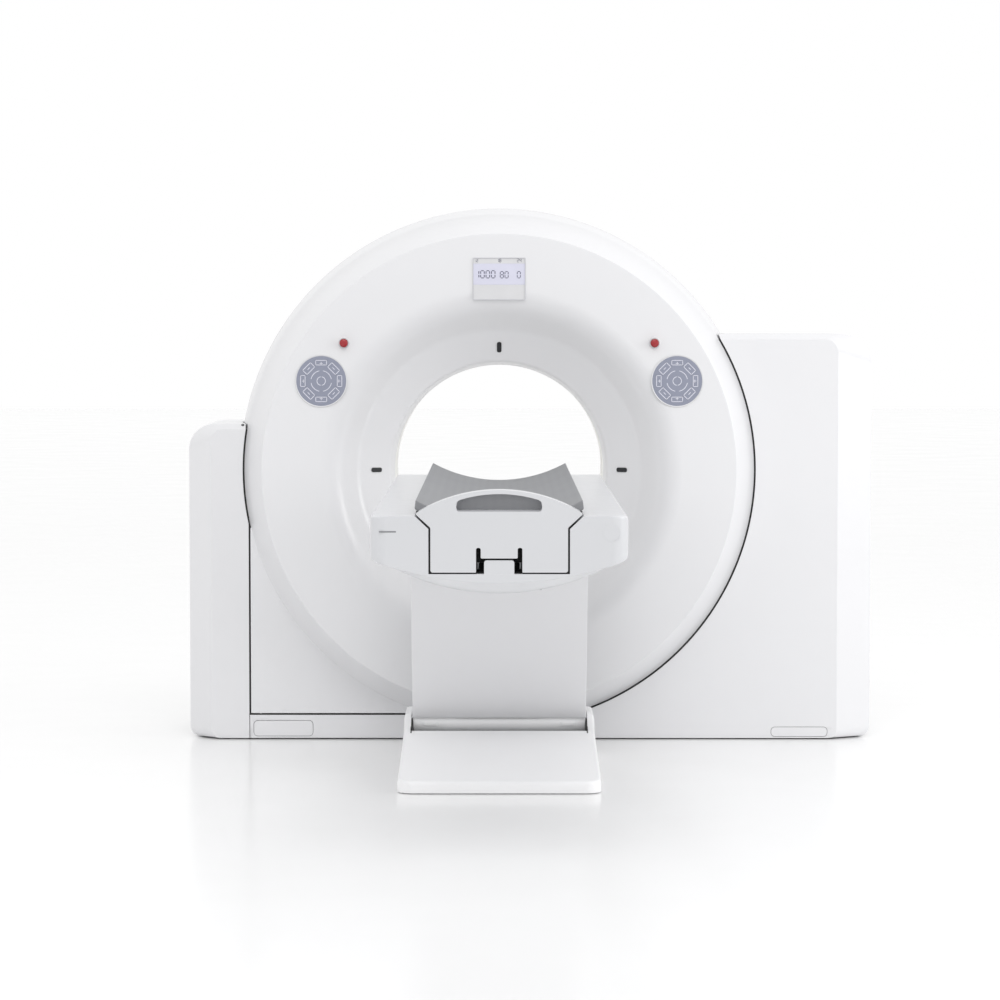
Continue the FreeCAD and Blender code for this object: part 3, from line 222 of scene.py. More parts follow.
class StageSizes(bpy.types.PropertyGroup):
    """Camera and light."""
    distance: length("Camera distance", "How far the camera stands in front of the isocentre", 10.86)
    height: length("Camera height", "Height of the camera", 1.4)
    pitch: bpy.props.FloatProperty(name="Pitch", description="How far the camera looks down",
                                   default=math.radians(3.22), unit="ROTATION")
    lens: bpy.props.FloatProperty(name="Lens", description="Focal length", default=114.6,
                                  unit="CAMERA")
    sky: bpy.props.FloatProperty(name="Surround", description="Brightness of the white surround",
                                 default=1.0)
    key: bpy.props.FloatProperty(name="Key light", description="Power of the light on the right",
                                 default=115.0, unit="POWER")
    over: bpy.props.FloatProperty(name="Upper light", description="Power of the light above in front",
                                  default=64.0, unit="POWER")


# ---------------------------------------------------------------- mesh helpers

def rectangle(low_u, low_v, high_u, high_v, turn):
    """The four (u, v, radius) corners of a rectangle."""
    return [(low_u, low_v, turn), (high_u, low_v, turn),
            (high_u, high_v, turn), (low_u, high_v, turn)]


def rounded(corners, closed=True, steps=ARC_STEPS):
    """An outline of (u, v, radius) corners, with each corner drawn as an arc."""
    line = []
    for index, (u, v, radius) in enumerate(corners):
        here = Vector((u, v))
        if radius <= 0 or not closed and index in (0, len(corners) - 1):
            line.append(here)
            continue
        back = Vector(corners[index - 1][:2]) - here
        ahead = Vector(corners[(index + 1) % len(corners)][:2]) - here
        half = back.angle(ahead) / 2
        reach = min(radius / math.tan(half), 0.49 * back.length, 0.49 * ahead.length)
        centre = here + (back.normalized() + ahead.normalized()).normalized() * (reach / math.cos(half))
        start, end = here + back.normalized() * reach, here + ahead.normalized() * reach
        arm, far_arm = start - centre, end - centre
        line += [centre + arm.slerp(far_arm, step / steps).normalized() * arm.length
                 for step in range(steps + 1)]
    return line


def bow(half, edge, middle, steps=24):
    """Points from -half to half on the arc through the edge height and the middle height."""
    rise = middle - edge
    radius = (half * half + rise * rise) / (2 * rise)
    spread = math.asin(half / abs(radius))
    sweep = [spread * (2 * step / steps - 1) for step in range(steps + 1)]
    return [Vector((abs(radius) * math.sin(a), middle - radius + radius * math.cos(a))) for a in sweep]


def bridge(bm, rows, closed=True):
    """Faces between neighbouring rows of vertices."""
    for low, high in zip(rows, rows[1:]):
        count = len(low)
        for index in range(count if closed else count - 1):
            after = (index + 1) % count
            bm.faces.new((low[index], low[after], high[after], high[index]))


def loft(bm, rows, closed=True, caps=True):
    """A skin through rows of points, each with as many points as the next."""
    made = [[bm.verts.new(point) for point in row] for row in rows]
    bridge(bm, made, closed)
    if caps:
        bm.faces.new(made[0])
        bm.faces.new(made[-1])
    return made


def filled(bm, loops):
    """A flat face inside the first loop of vertices and outside the others."""
    edges = []
    for loop in loops:
        for index, vertex in enumerate(loop):
            pair = (loop[index - 1], vertex)
            edges.append(bm.edges.get(pair) or bm.edges.new(pair))
    bmesh.ops.triangle_fill(bm, use_beauty=True, use_dissolve=False, edges=edges)


def plate(bm, place, low, high, outline, *holes, near_holes=None):
    """A solid plate with holes; place turns (u, v, w) into a point.

    near_holes, where given, are the holes' outlines at the low end.
    """
    ends = [[[bm.verts.new(place(p[0], p[1], w)) for p in loop] for loop in loops]
            for w, loops in ((low, (outline, *(near_holes or holes))), (high, (outline, *holes)))]
    for near, far in zip(*ends):
        bridge(bm, [near, far])
    for loops in ends:
        filled(bm, loops)


def lathe(bm, profile, segments=192, caps=False):
    """A profile of (depth, radius) points turned about the bore's axis."""
    rows = []
    for step in range(segments):
        angle = math.tau * step / segments
        rows.append([(r * math.sin(angle), y, ISO + r * math.cos(angle)) for y, r in profile])
    made = [[bm.verts.new(point) for point in row] for row in rows]
    bridge(bm, made + [made[0]], closed=caps)


def disc(bm, centre, profile, segments=64):
    """A profile of (radius, height) points turned about centre; height is towards the table end."""
    rows = []
    for radius, height in profile:
        row = []
        for step in range(segments):
            angle = math.tau * step / segments
            across, up = radius * math.cos(angle), radius * math.sin(angle)
            row.append(Vector(centre) + Vector((across, -height, up)))
        rows.append([bm.verts.new(point) for point in row])
    bridge(bm, rows)
    bm.faces.new(rows[0])
    bm.faces.new(rows[-1])


def carve(bm, low, high):
    """Cuts a box between two corners out of a solid."""
    body = bpy.data.meshes.new("body")
    bmesh.ops.recalc_face_normals(bm, faces=bm.faces)
    bm.to_mesh(body)
    tool = bmesh.new()
    plate(tool, lambda u, v, w: (u, v, w), low[2], high[2],
          [(low[0], low[1]), (high[0], low[1]), (high[0], high[1]), (low[0], high[1])])
    bmesh.ops.recalc_face_normals(tool, faces=tool.faces)
    cutter = bpy.data.meshes.new("cutter")
    tool.to_mesh(cutter)
    tool.free()
    pair = [bpy.data.objects.new(mesh.name, mesh) for mesh in (body, cutter)]
    for thing in pair:
        bpy.context.scene.collection.objects.link(thing)
    cut = pair[0].modifiers.new("Cut", "BOOLEAN")
    cut.operation, cut.object, cut.solver = "DIFFERENCE", pair[1], "EXACT"
    result = bpy.data.meshes.new_from_object(pair[0].evaluated_get(bpy.context.evaluated_depsgraph_get()))
    bm.clear()
    bm.from_mesh(result)
    for thing in pair:
        bpy.data.objects.remove(thing)


def piece(name, bm, body, slot, material, *nodes, bevel=0.0, wall=0.0, steps=3, limit=35.0):
    """Turns a bmesh into a smooth piece that rides on a body and stands for CAD nodes."""
    bmesh.ops.remove_doubles(bm, verts=bm.verts, dist=1e-6)
    bmesh.ops.recalc_face_normals(bm, faces=bm.faces)
    mesh = bpy.data.meshes.new(name)
    bm.to_mesh(mesh)
    bm.free()
    for polygon in mesh.polygons:
        polygon.use_smooth = True
    thing = bpy.data.objects.new(name, mesh)
    bpy.context.scene.collection.objects.link(thing)
    if bevel:
        edge = thing.modifiers.new("Rounded edges", "BEVEL")
        edge.width, edge.segments = bevel, steps
        edge.limit_method, edge.angle_limit = "ANGLE", math.radians(limit)
        edge.miter_outer = "MITER_ARC"
    if wall:
        skin = thing.modifiers.new("Wall", "SOLIDIFY")
        skin.thickness, skin.offset, skin.use_even_offset = wall, -1, True
    if bevel or wall:
        flat = thing.modifiers.new("Even shading", "WEIGHTED_NORMAL")
        flat.keep_sharp, flat.weight = True, 80
    mesh.set_sharp_from_angle(angle=math.radians(limit))
    mesh.materials.append(material)
    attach(thing, body)
    if nodes:
        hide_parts(*nodes)
    return thing


# ---------------------------------------------------------------- materials

def add(tree, kind, inputs=None, **settings):
    """Adds a node; an input given as a socket is linked, and anything else is set."""
    node = tree.nodes.new(kind)
    for name, value in settings.items():
        setattr(node, name, value)
    for name, value in (inputs or {}).items():
        if isinstance(value, bpy.types.NodeSocket):
            tree.links.new(value, node.inputs[name])
        else:
            node.inputs[name].default_value = value
    return node


def new_material(name):
    """A material with an empty node tree, and its tree."""
    made = bpy.data.materials.new(name)
    made.use_nodes = True
    made.node_tree.nodes.clear()
    return made, made.node_tree


def scaled(colour, share):
    """A colour made darker or lighter by a share."""
    return [channel * share for channel in colour[:3]] + [1.0]


def lacquer(name, colour, peel_mm, height_mm, rough):
    """Two-part lacquer sprayed on a moulding, which dries with orange peel."""
    made, tree = new_material(name)
    drift, wiped = 350, 45
    spot = add(tree, "ShaderNodeTexCoord").outputs["Object"]
    cloud = add(tree, "ShaderNodeTexNoise", {"Vector": spot, "Scale": 1 / (drift * MM), "Detail": 3.0})
    peel = add(tree, "ShaderNodeTexNoise", {"Vector": spot, "Scale": 1 / (peel_mm * MM), "Detail": 2.0})
    dust = add(tree, "ShaderNodeTexNoise", {"Vector": spot, "Scale": 1 / (wiped * MM), "Detail": 6.0,
                                            "Roughness": 0.7})
    gloss = add(tree, "ShaderNodeMapRange", {
        "Value": dust.outputs["Fac"], "From Min": 0.3, "From Max": 0.7,
        "To Min": rough - 0.04, "To Max": rough + 0.05})
    skin = add(tree, "ShaderNodeBump", {"Height": peel.outputs["Fac"], "Strength": 0.35,
                                        "Distance": height_mm * MM})
    tone = add(tree, "ShaderNodeMix", {"Factor": cloud.outputs["Fac"], "A": colour,
                                       "B": scaled(colour, 0.97)}, data_type="RGBA")
    shader = add(tree, "ShaderNodeBsdfPrincipled", {
        "Base Color": tone.outputs["Result"], "Roughness": gloss.outputs["Result"],
        "Normal": skin.outputs["Normal"], "IOR": 1.5, "Coat Weight": 0.25, "Coat Roughness": 0.12})
    add(tree, "ShaderNodeOutputMaterial", {"Surface": shader.outputs["BSDF"]})
    return made


def metal(name, colour, rough, grain_mm, stretch):
    """Bare metal with its machining or casting marks, which stretch draws out along X."""
    made, tree = new_material(name)
    spot = add(tree, "ShaderNodeTexCoord").outputs["Object"]
    drawn = add(tree, "ShaderNodeMapping", {"Vector": spot, "Scale": (1 / stretch, 1, 1)})
    marks = add(tree, "ShaderNodeTexNoise", {"Vector": drawn.outputs["Vector"],
                                             "Scale": 1 / (grain_mm * MM), "Detail": 5.0})
    gloss = add(tree, "ShaderNodeMapRange", {"Value": marks.outputs["Fac"], "To Min": rough - 0.08,
                                             "To Max": rough + 0.12})
    skin = add(tree, "ShaderNodeBump", {"Height": marks.outputs["Fac"], "Strength": 0.3,
                                        "Distance": 0.1 * MM})
    tone = add(tree, "ShaderNodeMix", {"Factor": marks.outputs["Fac"], "A": colour,
                                       "B": scaled(colour, 0.8)}, data_type="RGBA")
    shader = add(tree, "ShaderNodeBsdfPrincipled", {
        "Base Color": tone.outputs["Result"], "Roughness": gloss.outputs["Result"],
        "Metallic": 1.0, "Normal": skin.outputs["Normal"]})
    add(tree, "ShaderNodeOutputMaterial", {"Surface": shader.outputs["BSDF"]})
    return made


def plastic(name, colour, rough, grain_mm, height_mm, ior=1.5, sheen=0.0):
    """Moulded plastic, rubber or baked paint, with the grain of its mould or its powder."""
    made, tree = new_material(name)
    handled = 60
    spot = add(tree, "ShaderNodeTexCoord").outputs["Object"]
    grain = add(tree, "ShaderNodeTexVoronoi", {"Vector": spot, "Scale": 1 / (grain_mm * MM)})
    blotch = add(tree, "ShaderNodeTexNoise", {"Vector": spot, "Scale": 1 / (handled * MM),
                                              "Detail": 4.0})
    gloss = add(tree, "ShaderNodeMapRange", {"Value": blotch.outputs["Fac"], "To Min": rough - 0.06,
                                             "To Max": rough + 0.08})
    skin = add(tree, "ShaderNodeBump", {"Height": grain.outputs["Distance"], "Strength": 0.3,
                                        "Distance": height_mm * MM})
    tone = add(tree, "ShaderNodeMix", {"Factor": blotch.outputs["Fac"], "A": colour,
                                       "B": scaled(colour, 0.92)}, data_type="RGBA")
    shader = add(tree, "ShaderNodeBsdfPrincipled", {
        "Base Color": tone.outputs["Result"], "Roughness": gloss.outputs["Result"],
        "Normal": skin.outputs["Normal"], "IOR": ior, "Sheen Weight": sheen})
    add(tree, "ShaderNodeOutputMaterial", {"Surface": shader.outputs["BSDF"]})
    return made


def gel_coat(name, colour):
    """Woven carbon laminate cured under a gel coat, with the twill printing through."""
    made, tree = new_material(name)
    tow, drift = 12, 250
    spot = add(tree, "ShaderNodeTexCoord").outputs["Object"]
    tows = [add(tree, "ShaderNodeTexWave", {"Vector": spot, "Scale": 1 / (tow * MM) / math.tau,
                                            "Distortion": 0.2},
                bands_direction=direction).outputs["Fac"] for direction in ("X", "Y")]
    twill = add(tree, "ShaderNodeMath", {0: tows[0], 1: tows[1]}, operation="MULTIPLY")
    cloud = add(tree, "ShaderNodeTexNoise", {"Vector": spot, "Scale": 1 / (drift * MM), "Detail": 3.0})
    gloss = add(tree, "ShaderNodeMapRange", {"Value": cloud.outputs["Fac"], "To Min": 0.55,
                                             "To Max": 0.65})
    skin = add(tree, "ShaderNodeBump", {"Height": twill.outputs["Value"], "Strength": 0.15,
                                        "Distance": 0.1 * MM})
    tone = add(tree, "ShaderNodeMix", {"Factor": twill.outputs["Value"], "A": colour,
                                       "B": scaled(colour, 0.94)}, data_type="RGBA")
    shader = add(tree, "ShaderNodeBsdfPrincipled", {
        "Base Color": tone.outputs["Result"], "Roughness": gloss.outputs["Result"],
        "Normal": skin.outputs["Normal"], "IOR": 1.52, "Specular IOR Level": 0.25})
    add(tree, "ShaderNodeOutputMaterial", {"Surface": shader.outputs["BSDF"]})
    return made


MATERIALS = {}


def make_materials(colours):
    """Every finish, by the name of the record's slot it belongs to."""
    white, rubber = list(colours.housing), list(colours.rubber)
    MATERIALS.update({
        # Satin off-white: wide soft reflections that ripple a little where light grazes it.
        "housing_white": lacquer("Lacquered polyurethane moulding", white,
                                 peel_mm=2.5, height_mm=0.03, rough=0.34),
        # A shade darker and a touch glossier, so that the table stands out from the ring.
        "tabletop_white": lacquer("Lacquered glass-fibre moulding", list(colours.table),
                                  peel_mm=2.5, height_mm=0.03, rough=0.32),
        # Painted light: the housings' lacquer made nearly pure white, so that the base stays bright in the
        # table's shade.
        "base_white": lacquer("Lacquered polyurethane, brightened for painted light", list(colours.base),
                              peel_mm=2.5, height_mm=0.03, rough=0.34),
        # Warmer than the covers and smooth: the bore reads as a separate thin tube.
        "liner_film": lacquer("Polyester film liner", list(colours.liner),
                              peel_mm=2.0, height_mm=0.008, rough=0.3),
        # A slightly greyer white with a dull shine, which rims the small controls.
        "collar_white": plastic("Moulded ABS, white", scaled(white, 0.9),
                                rough=0.35, grain_mm=1.0, height_mm=0.02),
        # Mid grey and dull, with the pebbling of baked powder.
        "frame_paint": plastic("Powder-coated steel", linear("#8E9194"),
                               rough=0.5, grain_mm=1.5, height_mm=0.06),
        # Grey and cloudy: the motors look heavier than the sheet parts.
        "cast_case": metal("Die-cast aluminium, painted grey", linear("#85888B"),
                           rough=0.5, grain_mm=3.0, stretch=1.0),
        # Bright, with fine lines along the grind.
        "bearing_steel": metal("Ground bearing steel", linear("#B9BABC"),
                               rough=0.25, grain_mm=1.5, stretch=12.0),
        # Nearly black and matt: seams and slots read as clean dark lines; in the end cap and the base's bay
        # the same black is painted shade.
        "rubber_black": plastic("EPDM rubber", rubber, rough=0.7, grain_mm=1.2,
                                height_mm=0.04, ior=1.52, sheen=0.1),
        # Pale metal with cutter lines drawn along the part.
        "aluminium_part": metal("Milled aluminium", linear("#C9CBCD"),
                                rough=0.35, grain_mm=1.0, stretch=10.0),
        # Orange-brown metal with turning lines.
        "copper_ring": metal("Turned copper", linear("#C07A50"),
                             rough=0.3, grain_mm=1.0, stretch=12.0),
        # Charcoal with a low sheen, a step lighter than the rubber.
        "dark_plastic": plastic("Glass-filled nylon, black", linear("#26272A"),
                                rough=0.45, grain_mm=1.0, height_mm=0.03),
        # Light grey that frames the display without drawing the eye.
        "display_frame": plastic("Moulded ABS, pale grey", linear("#D2D2D6"),
                                 rough=0.4, grain_mm=1.0, height_mm=0.02),
        # Flat, smooth and faintly lavender, like a lit panel under a clear window.
        "display_glass": plastic("Acrylic window over a lit field", list(colours.screen),
                                 rough=0.15, grain_mm=4.0, height_mm=0.005),
        # Blue-grey and half matt, darker than the white round it.
        "keypad_film": plastic("Embossed polyester membrane", list(colours.keypad),
                               rough=0.42, grain_mm=1.0, height_mm=0.02),
        # Deep red with a small sharp highlight on the dome.
        "stop_red": plastic("Moulded polycarbonate, red", list(colours.stop),
                            rough=0.25, grain_mm=2.0, height_mm=0.01, ior=1.58),
        # Flat mid grey with a faint weave and hardly any shine.
        "carbon_cradle": gel_coat("Gel-coated carbon laminate", list(colours.cradle)),
        # Pale matt lines that stay readable on the membrane.
        "marks": plastic("Screen-printed ink, pale", list(colours.marks),
                         rough=0.5, grain_mm=1.0, height_mm=0.01),
        # Dark violet-grey figures that stand out from the pale window.
        "digits": plastic("Display digits, dark", list(colours.digits),
                          rough=0.3, grain_mm=1.0, height_mm=0.005),
    })


# ---------------------------------------------------------------- operators

class SCANNER_OT_materials(bpy.types.Operator):
    """Makes the finishes and paints the CAD parts with them"""
    bl_idname = "scanner.materials"
    bl_label = "Finishes"

    def execute(self, context):
        make_materials(context.scene.scanner_finishes)
        for thing in frame["nodes"].values():
            for place, old in enumerate(thing.data.materials):
                thing.data.materials[place] = MATERIALS[old.name.split(".")[0]]
        return {"FINISHED"}


class SCANNER_OT_ring(bpy.types.Operator):
    """Builds the ring's two covers and the liner of its bore"""
    bl_idname = "scanner.ring"
    bl_label = "Gantry ring"

    def execute(self, context):
        ring = context.scene.scanner_ring
        for side, name in ((-1, "front_cover"), (1, "rear_cover")):
            self.cover(ring, side, name)
        self.liner(ring)
        return {"FINISHED"}

    def cover(self, ring, side, name):
        """One half of the ring: throat, funnel, face, bevel and crown, with the square corner."""
        inner = rounded([
            (LINER_HIGH.y, ring.bore_radius, 0), (ring.lip, ring.lip_radius, 20 * MM),
            (ring.waist, ring.waist_radius, 70 * MM), (ring.face, ring.funnel_radius, 120 * MM),
            (ring.face, ring.face_radius, 4 * MM), (ring.wing, ring.rim_radius, 0)], closed=False, steps=8)
        seam = 1 * MM
        down = ISO - ring.corner_low
        rim, reach = ring.rim_radius, ring.corner_reach
        angles = [math.tau * step / 192 for step in range(192)]
        angles += [math.atan2(-reach, -down) % math.tau,
                   math.atan2(-reach, -math.sqrt(rim ** 2 - reach ** 2)) % math.tau,
                   math.atan2(-math.sqrt(rim ** 2 - down ** 2), -down) % math.tau]
        bm = bmesh.new()
        columns = []
        for angle in sorted(angles):
            right, up = math.sin(angle), math.cos(angle)
            square = min(reach / -right if right < -1e-6 else 9, down / -up if up < -1e-6 else 9)
            tail = [(ring.shoulder, ring.crown_radius), (seam, ring.crown_radius)]
            if right < 0 and up < 0 and square > rim + 1e-6:
                tail = [(ring.wing, square), (seam, square)]
            line = [tuple(point) for point in inner] + tail
            columns.append([bm.verts.new((r * right, side * y, ISO + r * up)) for y, r in line])
        bridge(bm, columns + [columns[0]], closed=False)
        bmesh.ops.bisect_plane(bm, geom=bm.verts[:] + bm.edges[:] + bm.faces[:], dist=1e-6,
                               plane_co=(0, 0, ring.corner_low), plane_no=(0, 0, -1), clear_outer=True)
        piece(name + "_shell", bm, "tilt_unit", "housing_white", MATERIALS["housing_white"], name,
              bevel=3 * MM, wall=ring.skin)

    def liner(self, ring):
        """The film tube in the bore, and the band, set back a millimetre, that the beam passes through."""
        wall, band = 4 * MM, 32 * MM
        half = LINER_HIGH.y
        for name, low, high, radius, thick in (
                ("liner_front", -half, -band, ring.bore_radius, wall),
                ("scan_window", -band, band, ring.bore_radius + 1 * MM, wall - 1 * MM),
                ("liner_rear", band, half, ring.bore_radius, wall)):
            bm = bmesh.new()
            lathe(bm, rounded([(low, radius, 1 * MM), (high, radius, 1 * MM), (high, radius + thick, 0),
                               (low, radius + thick, 0)], steps=3), caps=True)
            nodes = ["bore_liner"] if name == "liner_front" else []
            piece(name, bm, "tilt_unit", "liner_film", MATERIALS["liner_film"], *nodes)


class SCANNER_OT_housings(bpy.types.Operator):
    """Builds the housings beside the ring, the plinths and the access flaps"""
    bl_idname = "scanner.housings"
    bl_label = "Housings"

    def execute(self, context):
        sizes = context.scene.scanner_housings
        left_low, left_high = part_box("left_front_housing")
        right_low, right_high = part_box("right_front_housing")
        flaps = [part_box("left_access_flap"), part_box("right_access_flap")]
        left = {"hand": -1, "inner": left_high.x, "outer": left_low.x, "top": left_high.z,
                "bevel": sizes.left_bevel, "corner": sizes.left_corner,
                "face_corner": sizes.left_face_corner, "plinth_end": None}
        right = {"hand": 1, "inner": right_low.x, "outer": right_high.x, "top": right_high.z,
                 "bevel": sizes.right_bevel, "corner": sizes.right_corner,
                 "face_corner": sizes.right_face_corner,
                 "plinth_end": left_high.x + sizes.plinth_joint}
        for face, end in ((-1, "front"), (1, "rear")):
            self.housing(sizes, f"right_{end}_housing", face, right, flaps if face < 0 else [],
                         f"plinth_{end}")
            self.housing(sizes, f"left_{end}_housing", face, left, [])
        self.screws(sizes, ((left_high.x - 19 * MM, left_high.z), (693 * MM, right_high.z)))
        for (low, high), name in zip(flaps, ("left_access_flap", "right_access_flap")):
            bm = bmesh.new()
            outline = rounded(rectangle(low.x, low.z, high.x, high.z,
                                        sizes.flap_corner - sizes.flap_gap))
            plate(bm, lambda u, v, w: (u, w, v), low.y, high.y, outline)
            piece(name + "_panel", bm, "stand", "housing_white", MATERIALS["housing_white"], name,
                  bevel=0.8 * MM)
        return {"FINISHED"}

    def screws(self, sizes, places):
        """Small recessed screws on the housings' top bevels, front and rear."""
        bm = bmesh.new()
        for x, top in places:
            for face in (-1, 1):
                spot = Vector((x, face * (sizes.front - 14 * MM), top - 4 * MM))
                tilt = Matrix.Rotation(face * math.radians(45), 3, "X")
                rows = []
                for radius, height in ((5 * MM, -2 * MM), (5 * MM, 0.8 * MM), (4 * MM, 1.4 * MM),
                                       (2 * MM, 1.4 * MM), (2 * MM, -0.5 * MM)):
                    rows.append([bm.verts.new(spot + tilt @ Vector((
                        radius * math.cos(a), face * height, radius * math.sin(a))))
                        for a in (math.tau * step / 24 for step in range(24))])
                bridge(bm, rows)
                bm.faces.new(rows[0])
                bm.faces.new(rows[-1])
        piece("housing_screw_heads", bm, "stand", "bearing_steel", MATERIALS["dark_plastic"],
              "housing_screws")

    def housing(self, sizes, name, face, shape, flaps, *nodes):
        """Half of a housing: a flat front, a wide side bevel, a fine top bevel, and the ring's opening."""
        hand, inner, outer, top = (shape[key] for key in ("hand", "inner", "outer", "top"))
        steps, plinth_end = 10, shape["plinth_end"]
        plane, top_face = face * sizes.front, top - sizes.top_bevel
        foot, radius = sizes.gap, sizes.opening
        edge = outer - hand * shape["bevel"]

        def swept(u, v, r, share):
            """A point on the corner arc from the top edge to the side edge."""
            turn = share * math.pi / 2
            return u - hand * r + hand * r * math.sin(turn), v - r + r * math.cos(turn)

        def tucked(u, r, share):
            """A point on the corner arc from the underside to the side edge."""
            turn = share * math.pi / 2
            return u - hand * r + hand * r * math.sin(turn), foot + r - r * math.cos(turn)

        front, back = [], []
        for step in range(steps + 1):
            x, z = tucked(edge, sizes.foot_face_corner, step / steps)
            front.append((x, plane, z))
            x, z = tucked(outer, sizes.foot_corner, step / steps)
            back.append((x, face * (sizes.front - sizes.side_bevel), z))
        for step in range(steps, -1, -1):
            share = step / steps
            x, z = swept(edge, top_face, shape["face_corner"], share)
            front.append((x, plane, z))
            x, z = swept(outer, top, shape["corner"], share)
            inset = sizes.top_bevel + (sizes.side_bevel - sizes.top_bevel) * share
            back.append((x, face * (sizes.front - inset), z))
        reach = math.sqrt(radius ** 2 + sizes.front ** 2)
        rise = top - ISO
        ends = [math.sqrt(radius ** 2 - (top_face - ISO) ** 2),
                math.sqrt(reach ** 2 - rise ** 2 - (sizes.front - sizes.top_bevel) ** 2)]
        front.append((hand * ends[0], plane, top_face))
        back.append((hand * ends[1], face * (sizes.front - sizes.top_bevel), top))
        seam = [(x, face * 1 * MM, z) for x, _, z in back]
        seam[-1] = (hand * math.sqrt(reach ** 2 - rise ** 2), face * 1 * MM, top)
        bm = bmesh.new()
        made = loft(bm, [front, back, seam], closed=False, caps=False)
        low_angle = math.asin(min(1.0, abs(inner) / radius))
        start = math.pi - low_angle
        finish = math.acos((top_face - ISO) / radius)
        arc = [finish + (start - finish) * step / 48 for step in range(1, 49)]
        rim = [(hand * radius * math.sin(a), plane, ISO + radius * math.cos(a)) for a in arc]
        lip_radius = math.sqrt(reach ** 2 - (sizes.front - sizes.lip) ** 2)
        edge_line = [bm.verts.new(point) for point in rim]
        if plinth_end is not None:
            edge_line.append(bm.verts.new((inner, plane, sizes.plinth)))
            edge_line.append(bm.verts.new((plinth_end, plane, sizes.plinth)))
            edge_line.append(bm.verts.new((plinth_end, plane, foot)))
        else:
            edge_line.append(bm.verts.new((inner, plane, foot)))
        behind = [made[0][-1]] + edge_line[:-1]
        lips = []
        for vertex in behind:
            across = Vector((vertex.co.x, 0, vertex.co.z - ISO))
            drawn = across.normalized() * lip_radius if across.length < radius + 1 * MM else across
            lips.append(bm.verts.new((drawn.x, face * (sizes.front - sizes.lip), ISO + drawn.z)))
        bridge(bm, [behind, lips], closed=False)
        holes = []
        for low, high in flaps:
            gap = sizes.flap_gap
            hole = rounded(rectangle(low.x - gap, low.z - gap, high.x + gap, high.z + gap,
                                     sizes.flap_corner))
            holes.append([bm.verts.new((u, plane, v)) for u, v in hole])
        filled(bm, [made[0] + edge_line] + holes)
        piece(name + "_shell", bm, "stand", "housing_white", MATERIALS["housing_white"], name, *nodes,
              bevel=5 * MM, wall=sizes.skin, limit=20)


